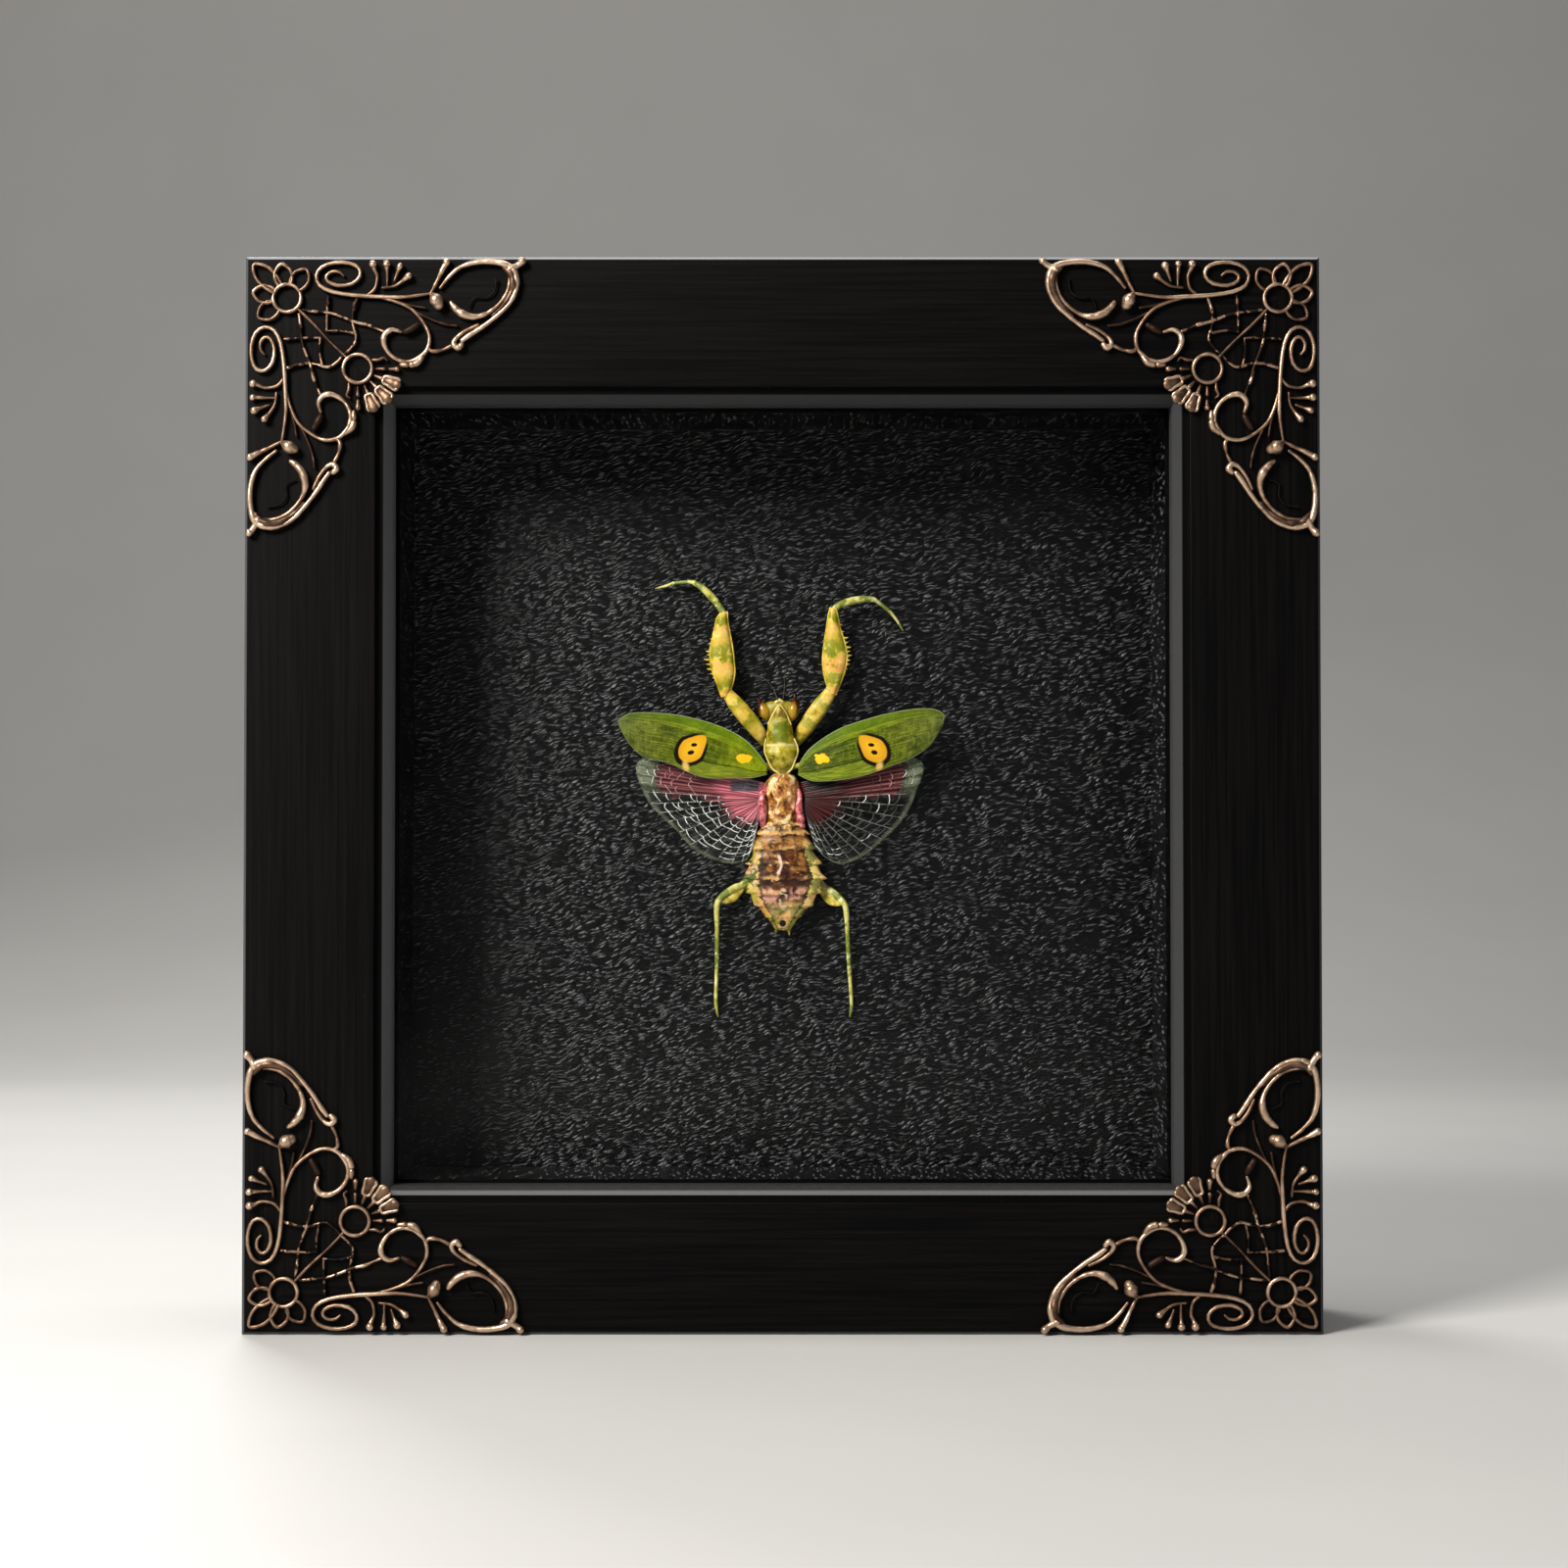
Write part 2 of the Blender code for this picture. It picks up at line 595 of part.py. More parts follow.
def make_legs(where):
    """Spined forelegs raised in front, and hind legs that trail beside the abdomen."""
    coxa = {
        "left": [(-2.7, 83.1, 1.5), (-3.6, 84.7, 2.2), (-6.2, 87.9, 2.8), (-8.2, 90.3, 2.8)],
        "right": [(2.1, 83.1, 1.5), (3.1, 84.7, 2.2), (5.4, 88.1, 2.8), (7.1, 90.6, 2.8)],
    }
    femur = {
        "left": [(102.1, -9.0, -8.0), (100.8, -9.8, -8.1), (98.6, -10.2, -7.65), (96.6, -10.6, -7.35),
                 (94.3, -10.5, -7.1), (92.4, -9.8, -7.2), (90.6, -9.2, -7.7), (89.7, -8.9, -8.1)],
        "right": [(102.7, 6.9, 7.8), (101.3, 6.7, 8.1), (99.5, 6.4, 8.5), (97.6, 6.15, 9.1),
                  (95.6, 5.9, 9.4), (93.4, 6.0, 9.0), (91.2, 6.6, 8.2), (90.1, 6.8, 7.7)],
    }
    shank = {
        "left": [(-8.5, 101.5, 2.8), (-9.5, 103.2, 2.8), (-11.0, 104.9, 2.6), (-12.8, 106.4, 2.2),
                 (-15.8, 106.5, 1.3), (-18.7, 105.75, 0.5)],
        "right": [(7.3, 102.1, 2.8), (8.4, 103.3, 2.8), (11.0, 103.9, 2.6), (13.5, 103.9, 2.2),
                  (15.6, 102.4, 1.3), (17.7, 99.6, 0.5)],
    }
    spines = {
        "left": [(-10.2, 99.2), (-10.9, 97.6), (-11.3, 96.4), (-11.5, 95.1), (-11.1, 93.8), (-10.3, 92.6)],
        "right": [(9.0, 99.0), (9.6, 98.2), (9.9, 97.0), (10.1, 95.8), (9.8, 94.5), (9.2, 93.1)],
    }
    for side, way in (("left", -1), ("right", 1)):
        stations = [(up, left, right, 2.0, 3.7) for up, left, right in femur[side]]
        pieces = [
            loft("femur", stations),
            limb(coxa[side], [0.5, 0.85, 0.9, 0.5]),
            limb(shank[side], [0.4, 0.5, 0.48, 0.36, 0.24, 0.14]),
        ]
        for across, up in spines[side]:
            pieces.append(spine((across - way * 1.3, up - 0.1, 2.8), (across, up, 2.9)))
        finished(fused(pieces), f"foreleg_{side}", "leg_chitin", where)

    hind = {
        "left": [(-1.5, 71.0, 0.75), (-3.6, 65.2, 0.75), (-5.6, 62.3, 0.95), (-7.9, 60.9, 1.8), (-9.5, 59.6, 2.4),
                 (-9.7, 58.2, 2.3), (-9.65, 50.4, 1.2), (-9.8, 45.5, 0.7), (-9.5, 42.9, 0.45)],
        "right": [(1.6, 71.0, 0.75), (3.9, 65.0, 0.75), (5.9, 61.9, 0.95), (7.9, 60.4, 1.8), (9.1, 59.1, 2.4),
                  (9.4, 57.8, 2.3), (9.8, 49.7, 1.2), (10.1, 45.0, 0.7), (9.8, 42.8, 0.45)],
    }
    for side in ("left", "right"):
        leg = limb(hind[side], [0.35, 0.5, 0.55, 0.85, 0.5, 0.38, 0.34, 0.25, 0.14])
        finished(leg, f"hind_leg_{side}", "leg_chitin", where)


def main():
    clear_scene()
    parts = collection("framed_flower_mantis")
    helpers = collection("helpers")
    make_frame(parts)
    make_box_contents(parts)
    make_back_fittings(parts)
    make_ornaments(parts, helpers)
    make_body(parts)
    make_wings(parts)
    make_legs(parts)


main()
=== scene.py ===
import random
from math import cos, pi, radians, sin, sqrt

import bpy
from mathutils import Matrix, Vector, noise


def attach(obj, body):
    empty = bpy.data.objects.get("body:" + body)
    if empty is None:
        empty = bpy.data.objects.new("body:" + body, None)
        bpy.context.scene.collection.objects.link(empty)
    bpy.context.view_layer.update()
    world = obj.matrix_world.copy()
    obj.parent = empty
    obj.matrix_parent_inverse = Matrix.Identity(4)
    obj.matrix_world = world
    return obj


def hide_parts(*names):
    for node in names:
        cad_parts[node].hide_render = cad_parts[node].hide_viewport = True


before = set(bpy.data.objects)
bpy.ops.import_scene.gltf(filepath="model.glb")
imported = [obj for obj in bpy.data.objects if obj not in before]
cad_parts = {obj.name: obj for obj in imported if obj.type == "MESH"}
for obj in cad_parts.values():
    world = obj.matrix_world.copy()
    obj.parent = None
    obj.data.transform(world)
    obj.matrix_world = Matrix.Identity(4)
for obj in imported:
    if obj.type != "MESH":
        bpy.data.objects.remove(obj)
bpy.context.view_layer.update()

# Framed flower mantis. Lengths below are in millimetres unless a line says otherwise.
mm = 0.001  # metres
frontY = -15.6  # front of the rails
paperY = 10.4  # face of the paper
scene = bpy.context.scene
scene.view_settings.view_transform = "Standard"
random.seed(4)


# Node helpers

def rgb(red, green, blue, alpha=1.0):
    # Linear colour of a screen colour.
    return tuple((c / 255) ** 2.2 for c in (red, green, blue)) + (alpha,)


def put(tree, kind, inputs=None, **settings):
    made = tree.nodes.new("ShaderNode" + kind)
    for key, value in settings.items():
        setattr(made, key, value)
    for key, value in (inputs or {}).items():
        if isinstance(value, bpy.types.NodeSocket):
            tree.links.new(value, made.inputs[key])
        else:
            made.inputs[key].default_value = value
    return made


def treeOf(values):
    return next(value.id_data for value in values if isinstance(value, bpy.types.NodeSocket))


def calc(operation, *values):
    return put(treeOf(values), "Math", dict(enumerate(values)), operation=operation).outputs[0]


def times(first, *others):
    for other in others:
        first = calc("MULTIPLY", first, other)
    return first


def plus(first, *others):
    for other in others:
        first = calc("ADD", first, other)
    return first


def minus(first, second):
    return calc("SUBTRACT", first, second)


def scaled(value, factor, offset):
    return calc("MULTIPLY_ADD", value, factor, offset)


def away(value, centre):
    return calc("ABSOLUTE", minus(value, centre))


def fade(value, low, high):
    # 0 below low and 1 above high, smooth between. With low above high it falls.
    inputs = {"Value": value, "From Min": low, "From Max": high}
    if low > high:
        inputs.update({"From Min": high, "From Max": low, "To Min": 1.0, "To Max": 0.0})
    return put(value.id_data, "MapRange", inputs, interpolation_type="SMOOTHSTEP").outputs[0]


def stripe(value, centre, wide, narrow):
    # 1 within narrow of the centre and 0 beyond wide.
    return fade(away(value, centre), wide, narrow)


def between(value, low, lowFull, highFull, high):
    # 0 outside low and high, 1 between the other two.
    return times(fade(value, low, lowFull), fade(value, high, highFull))


def mix(factor, first, second):
    # A colour of three numbers is on the screen's scale.
    first, second = (rgb(*c) if isinstance(c, tuple) and len(c) == 3 else c for c in (first, second))
    tree = treeOf((factor, first, second))
    return put(tree, "Mix", {0: factor, 6: first, 7: second}, data_type="RGBA").outputs[2]


def ramp(factor, *stops):
    # Stops are (position, red, green, blue) on the screen's scale, or (position, tone).
    made = put(factor.id_data, "ValToRGB", {0: factor})
    elements = made.color_ramp.elements
    while len(elements) < len(stops):
        elements.new(0.5)
    for element, (position, *colour) in zip(elements, stops):
        element.position = position
        element.color = rgb(*colour) if len(colour) == 3 else (*colour * 3, 1)
    return made.outputs[0]


def tint(colour, mask, strength, *screen):
    # Lays a screen colour over another one.
    return mix(times(mask, strength), colour, rgb(*screen))


def ovalReach(along, across, length, width):
    # Distance from a centre: 1 on the oval with these half sizes.
    one = calc("POWER", calc("DIVIDE", along, length), 2.0)
    two = calc("POWER", calc("DIVIDE", across, width), 2.0)
    return calc("SQRT", plus(one, two))


def place(tree):
    # Position on the object in millimetres.
    where = put(tree, "TexCoord").outputs["Object"]
    return put(tree, "VectorMath", {0: where, "Scale": 1000.0}, operation="SCALE").outputs[0]


def mapped(vector, scale=(1, 1, 1), turn=(0, 0, 0)):
    return put(vector.id_data, "Mapping", {0: vector, "Rotation": turn, "Scale": scale}).outputs[0]


def grain(vector, scale, detail=3.0, rough=0.5, distortion=0.0):
    inputs = {"Vector": vector, "Scale": scale, "Detail": detail, "Roughness": rough,
              "Distortion": distortion}
    return put(vector.id_data, "TexNoise", inputs).outputs["Fac"]


def bump(height, strength, distance, normal=None):
    inputs = {"Height": height, "Strength": strength, "Distance": distance * mm}
    if normal:
        inputs["Normal"] = normal
    return put(height.id_data, "Bump", inputs).outputs[0]


def axes(vector):
    return put(vector.id_data, "SeparateXYZ", {0: vector}).outputs


def material(name):
    made = bpy.data.materials.new(name)
    made.use_nodes = True
    made.node_tree.nodes.clear()
    return made, made.node_tree, place(made.node_tree)


def surface(made, colour, rough, normal=None, gloss=0.5, metal=0.0, alpha=1.0):
    inputs = {"Base Color": colour, "Roughness": rough, "Specular IOR Level": gloss, "Metallic": metal,
              "Alpha": alpha}
    if normal:
        inputs["Normal"] = normal
    shader = put(made.node_tree, "BsdfPrincipled", inputs)
    put(made.node_tree, "OutputMaterial", {"Surface": shader.outputs[0]})
    return made


def marksOf(tree):
    return axes(put(tree, "Attribute", attribute_name="marks").outputs["Vector"])


# Mesh helpers

def lumps(x, y, z):
    return noise.noise(Vector((x, y, z)))


def clamp(value, low=0.0, high=1.0):
    return min(high, max(low, value))


def newShape():
    return {"verts": [], "faces": [], "marks": []}


def smoothPath(points, steps, closed=False):
    # Catmull-Rom curve through rows of numbers, with steps stretches between each two.
    rows = [Vector(p) for p in points]
    count = len(rows)
    last = count if closed else count - 1
    out = []
    for i in range(last):
        if closed:
            a, b, c, d = (rows[(i + k) % count] for k in (-1, 0, 1, 2))
        else:
            a, b, c, d = (rows[max(0, min(count - 1, i + k))] for k in (-1, 0, 1, 2))
        for k in range(steps):
            t = k / steps
            first = 2 * b + (c - a) * t
            out.append(0.5 * (first + (2 * a - 5 * b + 4 * c - d) * t * t + (3 * b - a - 3 * c + d) * t ** 3))
    if not closed:
        out.append(rows[-1])
    return out


def addTube(shape, rows, sides=8, flat=1.0, closed=False, mark=(0, 0, 0)):
    # A tube through rows of (x, y, z, radius) with round ends. flat squashes it from front to back.
    # Marks are (mark x, distance along as a part, mark z), or what mark gives for the distance.
    centres = [Vector(row[:3]) for row in rows]
    radii = [row[3] for row in rows]
    ways = []
    count = len(rows)
    for i in range(count):
        before = centres[(i - 1) % count] if closed else centres[max(0, i - 1)]
        after = centres[(i + 1) % count] if closed else centres[min(count - 1, i + 1)]
        ways.append((after - before).normalized())
    rings = [(centres[i], ways[i], radii[i], i / max(1, count - 1)) for i in range(count)]
    if not closed:
        # round ends
        for end, sign in ((0, -1), (-1, 1)):
            centre, way, radius, along = rings[end]
            extra = []
            for part in (0.5, 0.85, 1.0):
                reach = radius * sqrt(max(0.0, 1 - part * part)) if part < 1 else radius * 0.08
                extra.append((centre + way * sign * radius * part, way, reach, along))
            rings = extra[::-1] + rings if sign < 0 else rings + extra
    start = len(shape["verts"])
    for centre, way, radius, along in rings:
        side = way.cross(Vector((0, 1, 0)))
        if side.length < 0.01:
            side = way.cross(Vector((1, 0, 0)))
        side.normalize()
        rise = side.cross(way).normalized()
        for j in range(sides):
            angle = 2 * pi * j / sides
            shape["verts"].append(centre + side * cos(angle) * radius + rise * sin(angle) * radius * flat)
            shape["marks"].append(mark(along) if callable(mark) else (mark[0], along, mark[2]))
    total = len(rings)
    for i in range(total if closed else total - 1):
        one = start + i * sides
        two = start + (i + 1) % total * sides
        for j in range(sides):
            k = (j + 1) % sides
            shape["faces"].append((one + j, one + k, two + k, two + j))
    if not closed:
        shape["faces"].append(tuple(start + j for j in reversed(range(sides))))
        shape["faces"].append(tuple(start + (total - 1) * sides + j for j in range(sides)))


def addGrid(shape, rows):
    # A sheet of rows of (point, mark).
    start = len(shape["verts"])
    width = len(rows[0])
    for row in rows:
        for point, mark in row:
            shape["verts"].append(Vector(point))
            shape["marks"].append(mark)
    for i in range(len(rows) - 1):
        for j in range(width - 1):
            a = start + i * width + j
            shape["faces"].append((a, a + 1, a + width + 1, a + width))


def addLoft(shape, rings, marks):
    # A closed body through rings of points.
    start = len(shape["verts"])
    sides = len(rings[0])
    for ring, row in zip(rings, marks):
        shape["verts"].extend(Vector(p) for p in ring)
        shape["marks"].extend(row)
    for i in range(len(rings) - 1):
        one = start + i * sides
        two = one + sides
        for j in range(sides):
            k = (j + 1) % sides
            shape["faces"].append((one + j, one + k, two + k, two + j))
    shape["faces"].append(tuple(start + j for j in reversed(range(sides))))
    shape["faces"].append(tuple(start + (len(rings) - 1) * sides + j for j in range(sides)))


def addObject(name, data):
    obj = bpy.data.objects.new(name, data)
    scene.collection.objects.link(obj)
    return obj


def meshObject(name, verts, faces, finish):
    mesh = bpy.data.meshes.new(name)
    mesh.from_pydata(verts, [], faces)
    mesh.materials.append(finish)
    mesh.shade_smooth()
    return addObject(name, mesh)


def build(shape, name, finish, replaced=(), thickness=0.0):
    # Makes the piece, in metres, and lets it ride on the frame's only body.
    obj = meshObject(name, [v * mm for v in shape["verts"]], shape["faces"], finish)
    marks = obj.data.attributes.new("marks", "FLOAT_VECTOR", "POINT")
    marks.data.foreach_set("vector", [c for mark in shape["marks"] for c in mark])
    if thickness:
        solid = obj.modifiers.new("thickness", "SOLIDIFY")
        solid.thickness = thickness * mm
        solid.offset = 0
    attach(obj, "root")
    if replaced:
        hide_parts(*replaced)
    return obj


def onPaper(right, up, height):
    # Place of a specimen point: right, up, and height off the paper.
    return Vector((right, paperY - height, up))


def bead(right, up, height, radius):
    # A row for addTube.
    return *onPaper(right, up, height), radius


def limbRows(points, steps):
    # Rows for addTube through (right, up, height, radius) points.
    return [bead(*row) for row in smoothPath(points, steps)]


# Camera, light and floor

view = {"right": 0.2, "away": 450.6, "up": 66.0, "tilt": 1.36, "lens": 71.85}
ground = {"front": -1500, "bend": 500, "top": 2200, "halfWidth": 2500, "rough": 0.6,
          "dark": (188, 187, 185), "light": (195, 194, 192)}
sky = {"colour": (0.9, 0.93, 1.0, 1), "strength": 0.05}


def makeStage():
    floorMaterial, _, where = material("floorMaterial")
    speck = grain(where, 0.02, 2)
    surface(floorMaterial, mix(speck, ground["dark"], ground["light"]), ground["rough"])
    verts = []
    faces = []
    bend = ground["bend"]
    side = ground["halfWidth"] * mm
    profile = [(ground["front"], 0), (bend, 0)]
    profile += [(bend + bend * sin(a), bend - bend * cos(a)) for a in (pi / 2 * i / 12 for i in range(1, 13))]
    profile += [(2 * bend, ground["top"])]
    for y, z in profile:
        verts += [(-side, y * mm, z * mm), (side, y * mm, z * mm)]
    for i in range(len(profile) - 1):
        faces.append((2 * i, 2 * i + 1, 2 * i + 3, 2 * i + 2))
    meshObject("floor", verts, faces, floorMaterial)

    camera = bpy.data.cameras.new("camera")
    camera.lens = view["lens"]
    camera.sensor_width = 36
    camera.clip_start = 0.01
    eye = addObject("camera", camera)
    eye.location = (view["right"] * mm, -view["away"] * mm, view["up"] * mm)
    eye.rotation_euler = (radians(90 + view["tilt"]), 0, 0)
    scene.camera = eye

    lamps = {
        "keyLight": ((-380, -470, 440), 250, 8.1, (1.0, 0.97, 0.92)),
        "topLight": ((20, 40, 800), 360, 2.2, (1.0, 0.98, 0.96)),
        "fillLight": ((420, -640, 160), 380, 0.4, (0.95, 0.97, 1.0)),
        "backLight": ((-200, 430, 470), 220, 2.4, (1.0, 0.99, 0.97)),
    }
    for name, (where, size, watts, colour) in lamps.items():
        lamp = bpy.data.lights.new(name, "AREA")
        lamp.size = size * mm
        lamp.energy = watts
        lamp.color = colour
        obj = addObject(name, lamp)
        obj.location = [c * mm for c in where]
        aim = Vector((0, 0, 75 * mm)) - obj.location
        obj.rotation_euler = aim.to_track_quat("-Z", "Y").to_euler()
    world = bpy.data.worlds.new("studio")
    world.use_nodes = True
    background = world.node_tree.nodes["Background"]
    background.inputs["Color"].default_value = sky["colour"]
    background.inputs["Strength"].default_value = sky["strength"]
    scene.world = world


# Wooden rails

paint = {"dark": (6, 6, 7), "light": (19, 17, 16), "dust": (80, 74, 68), "edgeHighlight": (138, 140, 145),
         "slopeShaded": (56, 56, 57), "slopeLit": (84, 84, 85), "sill": (96, 96, 96), "sillShadeDark": (34, 34, 34),
         "sillShadeLight": (58, 58, 57), "groove": (3, 3, 3), "rough": 0.5, "gloss": 0.06}


def paintMaterial():
    made, tree, where = material("blackPaint")
    _, y, z = axes(where)
    streaks = grain(mapped(where, (0.03, 1.6, 1.6)), 1.0, 4, 0.6)
    fine = grain(mapped(where, (0.12, 6, 6)), 1.0, 2, 0.6)
    dust = grain(where, 1.4, 6, 0.7)
    colour = mix(fade(streaks, 0.35, 0.7), paint["dark"], paint["light"])
    colour = tint(colour, fade(dust, 0.66, 0.8), 0.35, *paint["dust"])
    # painted highlight along the outer front edge, strongest where the edge faces up, and a smoother slope at
    # the window
    edgeHighlight = times(fade(z, -74.5, -74.75), fade(y, frontY + 0.8, frontY + 0.4))
    sideways, _, facing = axes(put(tree, "NewGeometry").outputs["Normal"])
    edgeHighlight = times(edgeHighlight, scaled(fade(facing, 0.3, 0.7), 0.75, 0.25))
    colour = mix(edgeHighlight, colour, paint["edgeHighlight"])
    # the grey slope at the window is painted sheen, lighter where it faces right and darker where it faces
    # left or down
    slope = fade(z, -55.85, -55.7)
    slopeSheen = mix(fade(sideways, 0.2, 0.5), paint["slopeShaded"], paint["slopeLit"])
    # on the upward sill, a painted bright line on the outer part and painted shade on the inner part, varied
    # by dust
    shadedSill = mix(dust, paint["sillShadeDark"], paint["sillShadeLight"])
    sill = mix(fade(z, -55.4, -55.1), paint["sill"], shadedSill)
    colour = mix(slope, colour, mix(fade(facing, 0.2, 0.5), slopeSheen, sill))
    # painted shade: the groove before the window slope is darkened
    groove = between(z, -56.75, -56.65, -55.9, -55.8)
    colour = mix(groove, colour, paint["groove"])
    normal = bump(streaks, 0.3, 0.1, bump(fine, 0.25, 0.03))
    return surface(made, colour, paint["rough"], normal, gloss=paint["gloss"])


def rounded(corners, radii):
    # A section with its corners rounded off.
    steps = 4
    out = []
    count = len(corners)
    for i in range(count):
        before, corner, after = (Vector(corners[(i + k) % count]) for k in (-1, 0, 1))
        one = (before - corner).normalized() * radii[i]
        two = (after - corner).normalized() * radii[i]
        if radii[i] == 0:
            out.append(corner)
            continue
        for k in range(steps + 1):
            t = k / steps
            out.append(corner + one * (1 - t) ** 2 + two * t ** 2)
    return out


rail = {"halfWidth": 75.0, "mitreGap": 0.02, "sharpFrom": 35}


def makeRails(finish):
    corners = [(0, 0.5), (0.5, 0), (18.3, 0), (18.3, 1.0), (19.2, 1.0), (20.4, 3.0), (20.4, 6.0),
               (17.0, 6.0), (17.0, 32.0), (0.5, 32.0), (0, 31.5)]
    radii = [0.18, 0.18, 0.3, 0.1, 0.12, 0.3, 0.2, 0, 0.1, 0.2, 0.2]
    section = rounded(corners, radii)
    half = rail["halfWidth"]
    for turn, name in enumerate(("bottom", "right", "top", "left")):
        shape = newShape()
        rings = []
        marks = []
        for side in (-1, 1):
            end = side * (half - rail["mitreGap"])
            rings.append([(end - side * inward, frontY + back, inward - half) for inward, back in section])
            marks.append([(0, 0, 0)] * len(section))
        addLoft(shape, rings, marks)
        obj = build(shape, f"{name}Rail", finish, [f"rail_{name}"])
        obj.data.shade_flat()
        obj.matrix_world = Matrix.Translation((0, 0, half * mm)) @ Matrix.Rotation(-turn * pi / 2, 4, "Y")
        obj.data.set_sharp_from_angle(angle=radians(rail["sharpFrom"]))


# Embossed paper, glass and the back

paperLooks = {
    "embossedPaper": {"relief": 1.0, "light": 108, "size": (0.66, 1.2, 2.75), "depth": 1.0, "cutEnd": 0.0},
    "slipPaper": {"relief": 0.5, "light": 150, "size": (1.5, 1.25, 1.7), "depth": 0.17, "cutEnd": 1.0},
}


def paperMaterial(name):
    look = paperLooks[name]
    made, tree, where = material(name)
    where = mapped(where, (1, look["depth"], 1))
    # short bent grains, wider than high, that lean to the upper right
    bent = where
    for scale, reach in ((0.16, 2.4), (0.9, 0.7)):
        stray = put(tree, "TexNoise", {"Vector": where, "Scale": scale, "Detail": 1}).outputs["Color"]
        inputs = {0: stray, 1: (reach, 0, reach), 2: bent}
        bent = put(tree, "VectorMath", inputs, operation="MULTIPLY_ADD").outputs[0]
    lean = mapped(mapped(bent, turn=(0, radians(17), 0)), look["size"])
    grains = put(tree, "TexVoronoi", {"Vector": lean, "Scale": 1.0, "Randomness": 0.9}).outputs["Distance"]
    height = fade(grains, 0.6, 0.02)
    patchy = scaled(grain(where, 0.35, 4, 0.7), 0.6, 0.2)
    # the grain crests carry a painted highlight: lighter colour on the ridge tops, up to each look's light
    # level
    crest = times(fade(height, 0.3, 0.9), patchy)
    light = look["light"]
    colour = mix(crest, (2, 2, 3), (light, light, light + 3))
    # cut end of a slip, behind the glass
    facing = calc("ABSOLUTE", axes(put(tree, "NewGeometry").outputs["Normal"])[1])
    end = times(fade(facing, 0.6, 0.9), look["cutEnd"])
    colour = mix(end, colour, (5, 5, 6))
    relief = scaled(end, -look["relief"], look["relief"])
    normal = bump(height, relief, 0.11)
    return surface(made, colour, 0.36, normal, gloss=0.24)


glass = {"colour": (0.97, 0.98, 0.98, 1), "haze": 0.06, "refraction": 1.1}


def glassMaterial():
    made, tree, where = material("clearGlass")
    haze = grain(where, 0.03, 2)
    clear = put(tree, "BsdfTransparent", {"Color": glass["colour"]})
    gloss = put(tree, "BsdfGlossy", {"Roughness": times(haze, glass["haze"])})
    facing = put(tree, "Fresnel", {"IOR": glass["refraction"]}).outputs[0]
    both = put(tree, "MixShader", {0: facing, 1: clear.outputs[0], 2: gloss.outputs[0]})
    put(tree, "OutputMaterial", {"Surface": both.outputs[0]})
    return made


hardboard = {"fibres": ((0.3, 88, 62, 42), (0.6, 128, 96, 68), (0.8, 150, 118, 88)),
             "blotch": (104, 76, 54), "rough": 0.75}


def boardMaterial():
    made, _, where = material("hardboard")
    fibres = grain(mapped(where, (1, 1, 0.4)), 2.2, 6, 0.7)
    blotch = grain(where, 0.06, 3)
    colour = ramp(fibres, *hardboard["fibres"])
    colour = mix(fade(blotch, 0.3, 0.8), colour, hardboard["blotch"])
    return surface(made, colour, hardboard["rough"], bump(fibres, 0.4, 0.1))


steel = {"dark": (150, 152, 155), "light": (196, 197, 200), "spangle": 0.15, "saturation": 0.12}


def steelMaterial():
    made, tree, where = material("zincSteel")
    brushed = grain(mapped(where, (0.4, 6, 6)), 1.0, 3)
    spangle = put(tree, "TexVoronoi", {"Vector": where, "Scale": 0.5}).outputs["Color"]
    colour = mix(steel["spangle"], mix(brushed, steel["dark"], steel["light"]), spangle)
    paled = {"Color": colour, "Saturation": steel["saturation"]}
    colour = put(tree, "HueSaturation", paled).outputs[0]
    rough = scaled(brushed, 0.2, 0.25)
    return surface(made, colour, rough, metal=1.0)


def repaint(nodes, finish):
    for name in nodes:
        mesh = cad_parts[name].data
        mesh.materials.clear()
        mesh.materials.append(finish)


# Filigree corners

bronze = {"patinaToHighlight": ((0.2, 18, 13, 11), (0.54, 62, 45, 36), (0.8, 140, 111, 90), (0.97, 200, 172, 146)),
          "rough": ((0.2, 0.6), (0.9, 0.36)), "metal": 0.85, "webShade": 0.5}


def bronzeMaterial():
    made, tree, where = material("antiqueBronze")
    height, thin, _ = marksOf(tree)
    # painted shade dims the thin web in patches
    webShadeMask = times(fade(grain(where, 0.9, 2), 0.53, 0.45), thin)
    height = minus(height, times(webShadeMask, bronze["webShade"]))
    cloud = grain(where, 0.5, 4, 0.6)
    pits = grain(where, 3.2, 3, 0.6)
    # colour by height: painted highlight on the wire tops, dark patina and painted shade low down
    toneLevel = plus(height, scaled(cloud, 0.5, -0.25))
    colour = ramp(toneLevel, *bronze["patinaToHighlight"])
    rough = ramp(toneLevel, *bronze["rough"])
    normal = bump(pits, 0.35, 0.05, bump(cloud, 0.3, 0.2))
    return surface(made, colour, rough, normal, metal=bronze["metal"])


ringPoints = 20  # points of the closed rings
rimPoints = 8  # points of the rims of the fan's blades
bladeTone = 0.5  # tone of the flat blades


def petalLoop(centre, angle, reach):
    ring = 1.9
    spread = 0.42
    out = []
    for side, along in ((-1, 0), (-1.5, 0.35), (-1.35, 0.72), (0, 1), (1.35, 0.72), (1.5, 0.35), (1, 0)):
        r = ring + reach * along
        turn = radians(angle) + side * spread * ring / r
        out.append((centre + r * cos(turn), centre + r * sin(turn)))
    return out


def fanBlade(centre, angle, start, end, thick):
    way = (cos(radians(angle)), sin(radians(angle)))
    rows = []
    for k in range(5):
        r = start + (end - start) * k / 4
        rows.append((centre + r * way[0], centre + r * way[1], thick * (0.62 + 0.38 * k / 4)))
    return rows


